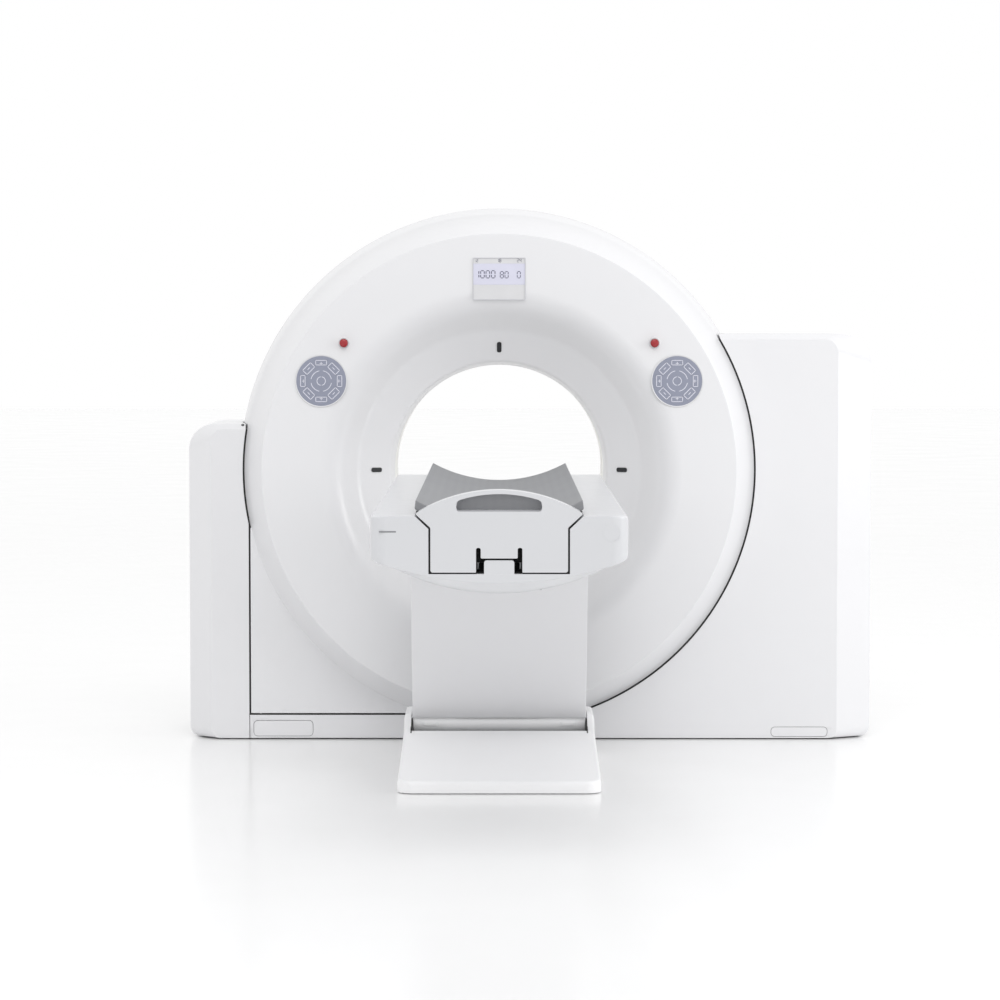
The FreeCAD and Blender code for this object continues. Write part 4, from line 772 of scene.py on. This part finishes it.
class SCANNER_OT_controls(bpy.types.Operator):
    """Builds the display, the keypads, the stop buttons and the laser windows"""
    bl_idname = "scanner.controls"
    bl_label = "Controls"

    def execute(self, context):
        sizes = context.scene.scanner_controls
        self.display()
        for side, word in ((-1, "left"), (1, "right")):
            self.keypad(sizes, side, word)
            self.stop(sizes, side, word)
        self.lasers(context.scene.scanner_ring, sizes)
        return {"FINISHED"}

    def display(self):
        """A thin bezel, a pale header and footer, a lit field and seven-segment digits."""
        low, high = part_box("display_bezel")
        screen_low, screen_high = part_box("display_screen")
        bm = bmesh.new()
        turn = 4 * MM
        outline = rounded(rectangle(low.x, low.z, high.x, high.z, turn), steps=4)
        rim = 2.5 * MM
        hole = rounded(rectangle(low.x + rim, low.z + rim, high.x - rim, high.z - rim, turn), steps=4)
        plate(bm, lambda u, v, w: (u, w, v), low.y, high.y, outline, hole)
        piece("display_frame", bm, "tilt_unit", "display_frame", MATERIALS["display_frame"],
              "display_bezel", bevel=0.6 * MM)
        tall = high.z - low.z
        field_low, field_high = low.z + tall * 0.36, low.z + tall * 0.86
        bands = (("display_footer", low.z + rim, field_low, "collar_white"),
                 ("display_field", field_low, field_high, "display_glass"),
                 ("display_header", field_high, high.z - rim, "collar_white"))
        for name, bottom, top, finish in bands:
            bm = bmesh.new()
            outline = [(low.x + rim, bottom), (high.x - rim, bottom), (high.x - rim, top), (low.x + rim, top)]
            depth = screen_low.y + (0.4 * MM if finish == "collar_white" else 0)
            plate(bm, lambda u, v, w: (u, w, v), depth, screen_high.y, outline)
            nodes = ["display_screen"] if name == "display_field" else []
            piece(name, bm, "tilt_unit", finish if finish != "collar_white" else "display_frame",
                  MATERIALS[finish], *nodes, bevel=0.5 * MM)
        wide = high.x - low.x
        front = screen_low.y
        bm = bmesh.new()
        for text, u, v, size in (("1000", 0.05, 0.52, 0.17), ("80", 0.52, 0.52, 0.15),
                                 ("0", 0.84, 0.52, 0.15), ("12", 0.04, 0.895, 0.06),
                                 ("18", 0.46, 0.895, 0.075), ("24", 0.84, 0.895, 0.075)):
            self.digits(bm, text, low.x + wide * u, low.z + tall * v, tall * size, front)
        piece("display_digits", bm, "tilt_unit", "dark_plastic", MATERIALS["digits"])

    def digits(self, bm, text, left, bottom, size, front):
        """Seven-segment digits with a baseline and a height."""
        lit = {"0": "abcdef", "1": "bc", "2": "abged", "4": "fgbc", "8": "abcdefg"}
        wide, thick = size * 0.5, size * 0.12
        bars = {"a": (0, 1, 1, 1), "b": (1, 0.5, 1, 1), "c": (1, 0, 1, 0.5), "d": (0, 0, 1, 0),
                "e": (0, 0, 0, 0.5), "f": (0, 0.5, 0, 1), "g": (0, 0.5, 1, 0.5)}
        for index, letter in enumerate(text):
            start = left + index * wide * 1.5
            for segment in lit[letter]:
                x0, z0, x1, z1 = bars[segment]
                x0, x1 = start + x0 * wide, start + x1 * wide
                z0, z1 = bottom + z0 * size, bottom + z1 * size
                lying = z0 == z1
                grow_x, grow_z = (-thick * 0.6, thick / 2) if lying else (thick / 2, -thick * 0.6)
                plate(bm, lambda u, v, w: (u, w, v), front - 0.3 * MM, front + 0.2 * MM,
                      [(x0 - grow_x, z0 - grow_z), (x1 + grow_x, z0 - grow_z),
                       (x1 + grow_x, z1 + grow_z), (x0 - grow_x, z1 + grow_z)])

    def keypad(self, sizes, side, word):
        """A membrane disc in a shallow dished surround, with two rings of embossed keys."""
        centre = Vector((side * sizes.keypad_x, FACE, ISO + sizes.keypad_z))
        outer = sizes.keypad_radius
        bm = bmesh.new()
        disc(bm, centre, [(outer - 5 * MM, 0), (outer - 5 * MM, 1.2 * MM), (outer - 2.5 * MM, 3 * MM),
                          (outer - 1.2 * MM, 3.2 * MM), (outer, 2.4 * MM), (outer, 0)], segments=96)
        piece(f"{word}_keypad_rim", bm, "tilt_unit", "collar_white", MATERIALS["collar_white"])
        bm = bmesh.new()
        disc(bm, centre, [(outer - 3 * MM, 0), (outer - 3 * MM, 1.6 * MM), (outer - 5 * MM, 1.9 * MM),
                          (outer - 16 * MM, 2 * MM)], segments=96)
        piece(f"{word}_keypad_film", bm, "tilt_unit", "keypad_film", MATERIALS["keypad_film"],
              f"{word}_keypad")
        bm = bmesh.new()
        line = 2 * MM
        for key in range(8):
            turn = Matrix.Rotation(math.tau * key / 8, 3, "Y")
            self.key(bm, centre, turn, 58 * MM, 36 * MM, 20 * MM, line, key)
        for key in range(4):
            self.arc(bm, centre, 34 * MM, math.tau * (key / 4 + 0.03), math.tau * (key / 4 + 0.22), line)
        for key in range(2):
            self.arc(bm, centre, 14 * MM, math.pi * (key + 0.04), math.pi * (key + 0.96), line)
        piece(f"{word}_keypad_marks", bm, "tilt_unit", "keypad_film", MATERIALS["marks"])

    def strip(self, bm, points, line, front):
        """A raised flat line through (x, z) points."""
        for start, end in zip(points, points[1:]):
            along = (Vector(end) - Vector(start))
            across = Vector((-along.y, along.x)).normalized() * line / 2
            grow = along.normalized() * line / 2
            corners = [Vector(start) - grow - across, Vector(end) + grow - across,
                       Vector(end) + grow + across, Vector(start) - grow + across]
            plate(bm, lambda u, v, w: (u, w, v), front - 2.5 * MM, front - 1.8 * MM, corners)

    def key(self, bm, centre, turn, out, wide, tall, line, key):
        """One outlined key of the outer ring, with its mark."""
        low = -tall / 2 if key % 2 else -tall / 4
        box = [(-wide / 2, tall / 2), (wide / 2, tall / 2), (wide / 2, low), (-wide / 2, low),
               (-wide / 2, tall / 2)]
        marks = [box, [(-4 * MM, 0), (4 * MM, 0)]]
        if key % 2 == 0:
            marks.append([(0, -4 * MM), (0, 4 * MM)])
        for mark in marks:
            placed = []
            for x, z in mark:
                point = turn @ Vector((x, 0, z + out))
                placed.append((centre.x + point.x, centre.z + point.z))
            self.strip(bm, placed, line, centre.y)

    def arc(self, bm, centre, radius, start, end, line):
        """A raised line along an arc of the keypad."""
        count = 14
        sweep = [start + (end - start) * step / count for step in range(count + 1)]
        band = [(centre.x + reach * math.sin(a), centre.z + reach * math.cos(a))
                for reach, angles in ((radius + line / 2, sweep), (radius - line / 2, sweep[::-1]))
                for a in angles]
        plate(bm, lambda u, v, w: (u, w, v), centre.y - 2.5 * MM, centre.y - 1.8 * MM, band)

    def stop(self, sizes, side, word):
        """A domed red button over a rolled white collar."""
        radius = sizes.stop_radius
        centre = Vector((side * sizes.stop_x, FACE, ISO + sizes.stop_z))
        bm = bmesh.new()
        disc(bm, centre, [(radius + 5.5 * MM, -1 * MM), (radius + 5.5 * MM, 2 * MM),
                          (radius + 4.6 * MM, 3.6 * MM), (radius + 3 * MM, 4.6 * MM),
                          (radius + 1.4 * MM, 4.4 * MM), (radius + 0.8 * MM, 3 * MM),
                          (radius + 0.8 * MM, 0.3 * MM)], segments=48)
        nodes = ["stop_collars"] if side < 0 else []
        piece(f"{word}_stop_surround", bm, "tilt_unit", "collar_white", MATERIALS["collar_white"], *nodes)
        head, stem = 21 * MM, 10 * MM
        bm = bmesh.new()
        dome = [(radius * math.cos(a), head - 4 * MM + 4 * MM * math.sin(a))
                for a in (0, 0.3, 0.6, 0.9, 1.2, 1.4)]
        disc(bm, centre, [(6.8 * MM, stem - 5.5 * MM), (6.8 * MM, stem), (radius - 1 * MM, stem),
                          (radius, stem + 1 * MM)] + dome, segments=48)
        piece(f"{word}_stop_head", bm, f"{word}_stop", "stop_red", MATERIALS["stop_red"],
              f"{word}_stop_button")

    def lasers(self, ring, sizes):
        """Slim dark windows set into the funnel's lip above and beside the bore."""
        run = ring.waist_radius - ring.lip_radius
        fall = ring.waist - ring.lip
        slope = math.atan2(fall, run)
        depth = -(ring.lip + (sizes.laser_radius - ring.lip_radius) * fall / run)
        lean = Matrix.Rotation(slope, 3, "X")
        for index, angle in enumerate((0, math.pi / 2, -math.pi / 2)):
            around = Matrix.Rotation(angle, 3, "Y")
            bm = bmesh.new()
            half, wide, turn = sizes.laser_long / 2, sizes.laser_wide / 2, 6 * MM
            outline = rounded(rectangle(-wide, -half, wide, half, turn))

            def place(u, v, w):
                """A point of the slot on the sloping lip."""
                return around @ (lean @ Vector((u, w, v)) + Vector((0, depth, sizes.laser_radius))) \
                    + Vector((0, 0, ISO))
            plate(bm, place, -2.2 * MM, 2 * MM, outline)
            nodes = ["laser_windows"] if index == 0 else []
            piece(f"laser_window_{index}", bm, "tilt_unit", "dark_plastic", MATERIALS["dark_plastic"],
                  *nodes, bevel=0.6 * MM)


class SCANNER_OT_table(bpy.types.Operator):
    """Builds the table's body with its channel, chin, socket cap, and a grey strip of painted shade for the
    finger recess
    """
    bl_idname = "scanner.table"
    bl_label = "Table body"

    def execute(self, context):
        sizes = context.scene.scanner_table
        half, near, far = TABLE_HIGH.x, TABLE_LOW.y + 0.8 * MM, TABLE_HIGH.y
        corner = sizes.corner
        stations = [(near + corner * (1 - math.cos(a)), half - corner * (1 - math.sin(a)))
                    for a in (math.pi / 2 * step / 6 for step in range(7))]
        stations += [(near + sizes.nose * share, half) for share in (0.5, 0.75, 1.0)]
        stations.append((far, half))
        rows = []
        for y, reach in stations:
            share = min(1.0, (y - near) / sizes.nose)
            sag = sizes.front_sag + (sizes.belly_sag - sizes.front_sag) * share
            rows.append([(u, y, v) for u, v in self.section(sizes, reach, sag)])
        bm = bmesh.new()
        loft(bm, rows)
        slot_half = 284 * MM
        carve(bm, (-slot_half, TOP_PIVOT.y - 60 * MM, 0.5),
              (slot_half, far + 10 * MM, sizes.channel_floor - 4 * MM))
        piece("table_shell", bm, "table", "tabletop_white", MATERIALS["tabletop_white"], "table_body",
              bevel=3 * MM, steps=4, limit=28)
        bm = bmesh.new()
        tab_half, tab_top = 38.5 * MM, 792 * MM
        tab = rounded([(-tab_half, sizes.channel_floor - 1 * MM, 0),
                       (tab_half, sizes.channel_floor - 1 * MM, 0),
                       (tab_half, tab_top, 7 * MM), (-tab_half, tab_top, 7 * MM)])
        plate(bm, lambda u, v, w: (u, w, v), near + 0.5 * MM, near + 24 * MM, tab)
        piece("channel_tab", bm, "table", "tabletop_white", MATERIALS["tabletop_white"], bevel=2 * MM)
        bm = bmesh.new()
        plate(bm, lambda u, v, w: (u, v, w), sizes.channel_floor - 1 * MM, sizes.channel_floor + 1.5 * MM,
              [(-178 * MM, near + 26 * MM), (178 * MM, near + 26 * MM), (178 * MM, far - 4 * MM),
               (-178 * MM, far - 4 * MM)])
        piece("channel_mat", bm, "table", "rubber_black", MATERIALS["rubber_black"])
        bm = bmesh.new()
        for side in (-1, 1):
            plate(bm, lambda u, v, w: (u, w, v), near + 73 * MM, near + 79.5 * MM,
                  rounded([(side * 20 * MM, sizes.channel_floor + 1 * MM, 2 * MM),
                           (side * 52 * MM, sizes.channel_floor + 1 * MM, 2 * MM),
                           (side * 52 * MM, 781 * MM, 3 * MM), (side * 20 * MM, 781 * MM, 3 * MM)]))
        piece("guide_buffers", bm, "table", "rubber_black", MATERIALS["rubber_black"])
        self.fittings(near)
        return {"FINISHED"}

    def section(self, sizes, reach, sag):
        """The body's outline at one place along it: belly, sides, rails and channel."""
        soft, steps = 22 * MM, 24
        drop, full, inner = sag - 2 * MM, TABLE_HIGH.x - soft * 0.9, reach - soft * 0.9
        radius = (full * full + drop * drop) / (2 * drop)
        across = [inner * (2 * step / steps - 1) for step in range(steps + 1)]
        belly = [(u, sizes.side_low - sag + radius - math.sqrt(radius * radius - u * u)) for u in across]
        edge = belly[-1][1]
        top = TABLE_HIGH.z
        rail, channel = sizes.rail_inner, sizes.channel_half
        lift = [(0.55, 0.1), (0.85, 0.38), (1.0, 0.9)]
        right = [(inner + (reach - inner) * a, edge + soft * b) for a, b in lift]
        return belly + right + [
            (reach, top - 9 * MM), (reach - 3 * MM, top - 3 * MM), (reach - 9 * MM, top), (rail, top),
            (channel, sizes.channel_shoulder), (channel, sizes.channel_floor),
            (-channel, sizes.channel_floor), (-channel, sizes.channel_shoulder), (-rail, top),
            (9 * MM - reach, top), (3 * MM - reach, top - 3 * MM), (-reach, top - 9 * MM)] + [
                (-u, v) for u, v in reversed(right)]

    def fittings(self, near):
        """The blank socket cap, and a grey strip of painted shade that stands for the finger recess, on the
        body's patient end.
        """
        bm = bmesh.new()
        centre = (284 * MM, near, 862 * MM)
        disc(bm, centre, [(22 * MM, -1 * MM), (22 * MM, 0.3 * MM), (19 * MM, 0.5 * MM),
                          (13 * MM, 0.5 * MM)], segments=48)
        piece("socket_cap", bm, "table", "tabletop_white", MATERIALS["tabletop_white"])
        # Painted shade: a flat grey strip, slightly proud of the face, where a finger recess would be dark.
        bm = bmesh.new()
        outline = rounded(rectangle(-306 * MM, 863 * MM, -262 * MM, 867 * MM, 2 * MM))
        plate(bm, lambda u, v, w: (u, w, v), near - 0.3 * MM, near + 2 * MM, outline)
        piece("finger_recess_painted_shade", bm, "table", "dark_plastic", MATERIALS["carbon_cradle"])


class SCANNER_OT_tabletop(bpy.types.Operator):
    """Builds the cradle and its moulded end cap"""
    bl_idname = "scanner.tabletop"
    bl_label = "Tabletop"

    def execute(self, context):
        sizes = context.scene.scanner_table
        low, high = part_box("cradle")
        half = CAP_HIGH.x
        top = bow(half, sizes.cradle_edge, sizes.cradle_middle, 40)
        under = bow(high.x, sizes.cradle_edge - sizes.cradle_thick,
                    sizes.cradle_middle - sizes.cradle_thick + 1 * MM, 40)
        outline = [tuple(point) for point in top] + [tuple(point) for point in reversed(under)]
        bm = bmesh.new()
        plate(bm, lambda u, v, w: (u, w, v), low.y, high.y, outline)
        piece("cradle_board", bm, "tabletop", "carbon_cradle", MATERIALS["carbon_cradle"], "cradle",
              bevel=3 * MM, limit=50)
        self.cap(sizes, half)
        return {"FINISHED"}

    def cap(self, sizes, half):
        """The end cap: a crowned shield with a D-shaped grip and two tall slots beside the tab."""
        low, high = CAP_LOW, CAP_HIGH
        waist, neck, shoulder = 175 * MM, 875 * MM, 911 * MM
        slot_in, slot_out, slot_top, bridge_low = 47 * MM, 59 * MM, 824 * MM, 797 * MM
        right = [(slot_in, bridge_low, 3 * MM), (slot_in, slot_top, 5 * MM), (slot_out, slot_top, 5 * MM),
                 (slot_out, low.z, 2 * MM), (waist, low.z, 6 * MM), (waist, neck, 8 * MM),
                 (half - 1 * MM, shoulder - 1 * MM, 5 * MM)]
        arch = [(u, v, 0) for u, v in reversed(bow(half - 5 * MM, shoulder + 3 * MM, high.z, 32))]
        left = [(-u, v, r) for u, v, r in reversed(right)]
        outline = rounded(right + arch + left)
        grip = sizes.grip_half
        crown = [(u, v, 0) for u, v in bow(grip - 10 * MM, sizes.grip_low + 21 * MM, sizes.grip_high, 28)]
        hole = rounded([(-grip, sizes.grip_low, 6 * MM), (-grip + 2 * MM, sizes.grip_low + 16 * MM, 6 * MM),
                        *crown, (grip - 2 * MM, sizes.grip_low + 16 * MM, 6 * MM),
                        (grip, sizes.grip_low, 6 * MM)])
        middle = (sizes.grip_low + sizes.grip_high) / 2
        pocket = [(u * 1.03, v + (3 * MM if v > middle else -12 * MM)) for u, v in hole]
        bm = bmesh.new()
        plate(bm, lambda u, v, w: (u, w, v), low.y + 24 * MM, low.y + 27 * MM, pocket)
        piece("grip_pocket", bm, "tabletop", "carbon_cradle", MATERIALS["carbon_cradle"])
        rest = sizes.grip_low + 10 * MM
        scoop = [(u, v - 9 * MM * min(1.0, (rest - v) / (10 * MM)) if v < rest else v) for u, v in hole]
        bm = bmesh.new()
        plate(bm, lambda u, v, w: (u, w, v), low.y, high.y, outline, hole, near_holes=[scoop])
        piece("end_cap_shell", bm, "tabletop", "tabletop_white", MATERIALS["tabletop_white"], "end_cap",
              bevel=5 * MM, steps=4, limit=40)
        # Painted shade: black sheets behind the slots and inside the cap, so that the slots and the hollow
        # read dark.
        bm = bmesh.new()
        plate(bm, lambda u, v, w: (u, w, v), high.y - 8 * MM, high.y - 2 * MM,
              rounded([(-slot_out + 0.5 * MM, 783 * MM, 2 * MM), (slot_out - 0.5 * MM, 783 * MM, 2 * MM),
                       (slot_out - 0.5 * MM, slot_top - 0.5 * MM, 4 * MM),
                       (-slot_out + 0.5 * MM, slot_top - 0.5 * MM, 4 * MM)]))
        for side in (-1, 1):
            plate(bm, lambda u, v, w: (side * u, w, v), low.y + 5 * MM, high.y - 9 * MM,
                  [(60.5 * MM, 757.4 * MM), (179.7 * MM, 757.4 * MM), (179.7 * MM, 872 * MM),
                   (212 * MM, 916 * MM), (206 * MM, 916 * MM), (170 * MM, 874 * MM),
                   (170 * MM, 770 * MM), (60.5 * MM, 770 * MM)])
        piece("cap_slot_painted_shade", bm, "tabletop", "rubber_black", MATERIALS["rubber_black"])


class SCANNER_OT_lift(bpy.types.Operator):
    """Builds the arm's cover, its hinge strip and the base on the floor"""
    bl_idname = "scanner.lift"
    bl_label = "Lift and base"

    def execute(self, context):
        sizes = context.scene.scanner_lift
        self.arm(sizes)
        self.hinge()
        self.base(sizes)
        return {"FINISHED"}

    def arm(self, sizes):
        """The wide panel over the arm's patient side, with folded sides."""
        lean = sizes.lean
        up = Vector((0, -math.sin(lean), math.cos(lean)))
        out = Vector((0, -math.cos(lean), -math.sin(lean)))
        half = ARM_HIGH.x

        def place(u, v, w):
            """A point across, out from and along the leaning arm."""
            return Vector((u, PIVOT.y, PIVOT.z)) + up * w + out * v
        wall = 4 * MM
        bm = bmesh.new()
        trough = [(-half, -sizes.back), (-half, sizes.front), (half, sizes.front), (half, -sizes.back),
                  (half - wall, -sizes.back), (half - wall, sizes.front - wall),
                  (-half + wall, sizes.front - wall), (-half + wall, -sizes.back)]
        plate(bm, place, sizes.start, sizes.end, trough)
        piece("arm_cover_shell", bm, "lift_arm", "housing_white", MATERIALS["housing_white"], "arm_cover",
              bevel=1.8 * MM)

    def hinge(self):
        """The rolled strip round the arm's lower pivot, with a small tab near each end."""
        half, radius, inner = ARM_HIGH.x - 1 * MM, 34 * MM, 30 * MM
        bm = bmesh.new()
        rows = []
        for u, r in ((-half, inner), (-half, radius - 2 * MM), (-half + 2 * MM, radius),
                     (half - 2 * MM, radius), (half, radius - 2 * MM), (half, inner)):
            rows.append([bm.verts.new((u, PIVOT.y + r * math.sin(a), PIVOT.z + r * math.cos(a)))
                         for a in (math.tau * step / 64 for step in range(64))])
        bridge(bm, rows + [rows[0]])
        # The strip takes the base's brightened lacquer: painted light that keeps it pale in the arm's shade.
        piece("hinge_strip", bm, "lift_arm", "housing_white", MATERIALS["base_white"])
        bm = bmesh.new()
        for side in (-1, 1):
            middle = side * 218 * MM
            rows = []
            for u, r in ((middle - 22 * MM, radius - 1 * MM), (middle - 20 * MM, radius + 2 * MM),
                         (middle + 20 * MM, radius + 2 * MM), (middle + 22 * MM, radius - 1 * MM)):
                rows.append([bm.verts.new((u, PIVOT.y - r * math.cos(a), PIVOT.z - r * math.sin(a)))
                             for a in (-0.1 + 0.35 * step / 8 for step in range(9))])
            bridge(bm, rows, closed=False)
        # Painted light as well: the tabs take the brightened base lacquer.
        piece("hinge_tabs", bm, "lift_arm", "housing_white", MATERIALS["base_white"], wall=1 * MM)

    def base(self, sizes):
        """The low base: a sloping tray with soft bevelled edges and two cheeks beside the arm."""
        low, high = BASE_LOW, BASE_HIGH
        front, back, pivot = low.y, high.y, PIVOT.y
        foot, crest = pivot - 95 * MM, pivot - 30 * MM

        def reach(y):
            """Half the base's width at a depth."""
            share = min(1.0, max(0.0, (y - front) / (pivot - front)))
            return sizes.nose_half + (sizes.cheek_half - sizes.nose_half) * share

        def level(y):
            """The top's height at a depth."""
            if y <= foot:
                return sizes.nose_top + (sizes.slope_top - sizes.nose_top) * (y - front) / (foot - front)
            return min(sizes.cheek_top, sizes.slope_top
                       + (sizes.cheek_top - sizes.slope_top) * (y - foot) / (crest - foot))

        def ring(inset, nose, drop, corner):
            """One outline of the base, drawn in from its edge and down from its top."""
            half = [(reach(front) - inset, front + nose, corner), (reach(foot) - inset, foot, 0),
                    (reach(crest) - inset, crest, 0), (reach(pivot) - inset, pivot, 0),
                    (sizes.cheek_half - inset, back - nose, 10 * MM)]
            line = rounded([(-half[0][0], *half[0][1:]), *half]
                           + [(-u, v, r) for u, v, r in reversed(half[1:])])
            return [(x, y, level(y) - drop if drop < 1 else 2 * MM) for x, y in line]
        bm = bmesh.new()
        rows = loft(bm, [ring(0, 0, 1, 46 * MM), ring(0, 0, 13 * MM, 46 * MM),
                         ring(3 * MM, 5 * MM, 3.5 * MM, 40 * MM), ring(10 * MM, 12 * MM, 0, 32 * MM)],
                    caps=False)
        bm.faces.new(rows[0])
        top = rows[-1]
        right_foot = 14
        right_crest = right_foot + 1
        left_crest, left_foot = len(top) - 2, len(top) - 1
        bm.faces.new([top[left_foot]] + top[:right_foot + 1])
        bm.faces.new([top[left_crest], top[left_foot], top[right_foot], top[right_crest]])
        bm.faces.new(top[right_crest:left_crest + 1])
        carve(bm, (-sizes.panel_half, foot - 2 * MM, -10 * MM), (sizes.panel_half, back + 10 * MM, 0.3))
        # The brightened lacquer is painted light, which keeps the base pale in the table's shade.
        piece("base_shell", bm, "stand", "housing_white", MATERIALS["base_white"], "table_base_cover",
              bevel=1.5 * MM, limit=40)
        proud, start = 0.4 * MM, foot - 34 * MM
        side_view = [(start, level(start) - 6 * MM), (start, level(start) + proud),
                     (foot - 2 * MM, level(foot) + proud), (foot, level(foot) + 4 * MM),
                     (crest - 4 * MM, level(crest) - 14 * MM), (pivot, level(crest) - 14 * MM),
                     (pivot, level(foot) - 50 * MM), (foot, level(foot) - 50 * MM),
                     (foot - 2 * MM, level(foot) - 6 * MM)]
        # Painted shade: black sheets on the bay's side walls, so that the gaps beside the arm read dark.
        bm = bmesh.new()
        for side in (-1, 1):
            plate(bm, lambda u, v, w: (side * w, u, v), sizes.panel_half - 3 * MM,
                  sizes.panel_half + 1 * MM, side_view)
        piece("bay_painted_shade", bm, "stand", "rubber_black", MATERIALS["rubber_black"])


class SCANNER_OT_stage(bpy.types.Operator):
    """Sets up the pale glossy floor, the white surround, the soft lights and the camera"""
    bl_idname = "scanner.stage"
    bl_label = "Stage"

    def execute(self, context):
        sizes, scene = context.scene.scanner_stage, context.scene
        bm = bmesh.new()
        reach = 40.0
        bm.faces.new([bm.verts.new((x * reach, y * reach, 0))
                      for x, y in ((-1, -1), (1, -1), (1, 1), (-1, 1))])
        mesh = bpy.data.meshes.new("floor")
        bm.to_mesh(mesh)
        bm.free()
        floor = bpy.data.objects.new("floor", mesh)
        scene.collection.objects.link(floor)
        # Poured epoxy: level and glossy, so that it mirrors softly.
        made, tree = new_material("Poured epoxy floor")
        spot = add(tree, "ShaderNodeTexCoord").outputs["Object"]
        cloud = add(tree, "ShaderNodeTexNoise", {"Vector": spot, "Scale": 2.0, "Detail": 2.0})
        gloss = add(tree, "ShaderNodeMapRange", {"Value": cloud.outputs["Fac"], "To Min": 0.16,
                                                 "To Max": 0.22})
        shader = add(tree, "ShaderNodeBsdfPrincipled", {
            "Base Color": list(scene.scanner_finishes.floor), "Roughness": gloss.outputs["Result"],
            "IOR": 1.45})
        add(tree, "ShaderNodeOutputMaterial", {"Surface": shader.outputs["BSDF"]})
        mesh.materials.append(made)
        world = bpy.data.worlds.new("White surround")
        world.use_nodes = True
        world.node_tree.nodes["Background"].inputs["Color"].default_value = (1, 1, 1, 1)
        world.node_tree.nodes["Background"].inputs["Strength"].default_value = sizes.sky
        scene.world = world
        for name, power, size, place, aim in (
                ("key", sizes.key, 3.0, (7.0, -3.0, 2.5), (0, 0, 0.9)),
                ("upper", sizes.over, 3.0, (0, -5.0, 5.5), (0, -1.5, 0.5))):
            data = bpy.data.lights.new(name, "AREA")
            data.energy, data.size, data.shape = power, size, "SQUARE"
            lamp = bpy.data.objects.new(name, data)
            lamp.location = place
            lamp.rotation_euler = (Vector(aim) - Vector(place)).to_track_quat("-Z", "Y").to_euler()
            scene.collection.objects.link(lamp)
        data = bpy.data.cameras.new("camera")
        data.lens, data.sensor_width, data.shift_x = sizes.lens, 36.0, 0.0008
        camera = bpy.data.objects.new("camera", data)
        camera.location = (0, -sizes.distance, sizes.height)
        camera.rotation_euler = (math.pi / 2 - sizes.pitch, 0, 0)
        scene.collection.objects.link(camera)
        scene.camera = camera
        scene.view_settings.view_transform = "Standard"
        return {"FINISHED"}


class SCANNER_PT_panel(bpy.types.Panel):
    """Buttons that build the scanner, in order"""
    bl_idname = "SCANNER_PT_panel"
    bl_label = "CT scanner"
    bl_space_type = "VIEW_3D"
    bl_region_type = "UI"
    bl_category = "CT Scanner"

    def draw(self, context):
        for operator in OPERATORS:
            self.layout.operator(operator.bl_idname)


GROUPS = {"scanner_ring": RingSizes, "scanner_housings": HousingSizes, "scanner_controls": ControlSizes,
          "scanner_table": TableSizes, "scanner_lift": LiftSizes, "scanner_finishes": Finishes,
          "scanner_stage": StageSizes}
OPERATORS = (SCANNER_OT_materials, SCANNER_OT_ring, SCANNER_OT_housings, SCANNER_OT_controls,
             SCANNER_OT_table, SCANNER_OT_tabletop, SCANNER_OT_lift, SCANNER_OT_stage)


def register():
    """Registers the settings, the operators and the panel."""
    for cls in (*GROUPS.values(), *OPERATORS, SCANNER_PT_panel):
        bpy.utils.register_class(cls)
    for name, cls in GROUPS.items():
        setattr(bpy.types.Scene, name, bpy.props.PointerProperty(type=cls))


def unregister():
    """Removes what register added."""
    for name in GROUPS:
        delattr(bpy.types.Scene, name)
    for cls in (SCANNER_PT_panel, *reversed(OPERATORS), *reversed(list(GROUPS.values()))):
        bpy.utils.unregister_class(cls)


def main():
    """Builds everything."""
    register()
    for operator in OPERATORS:
        group, name = operator.bl_idname.split(".")
        getattr(getattr(bpy.ops, group), name)()


if __name__ == "__main__":
    main()
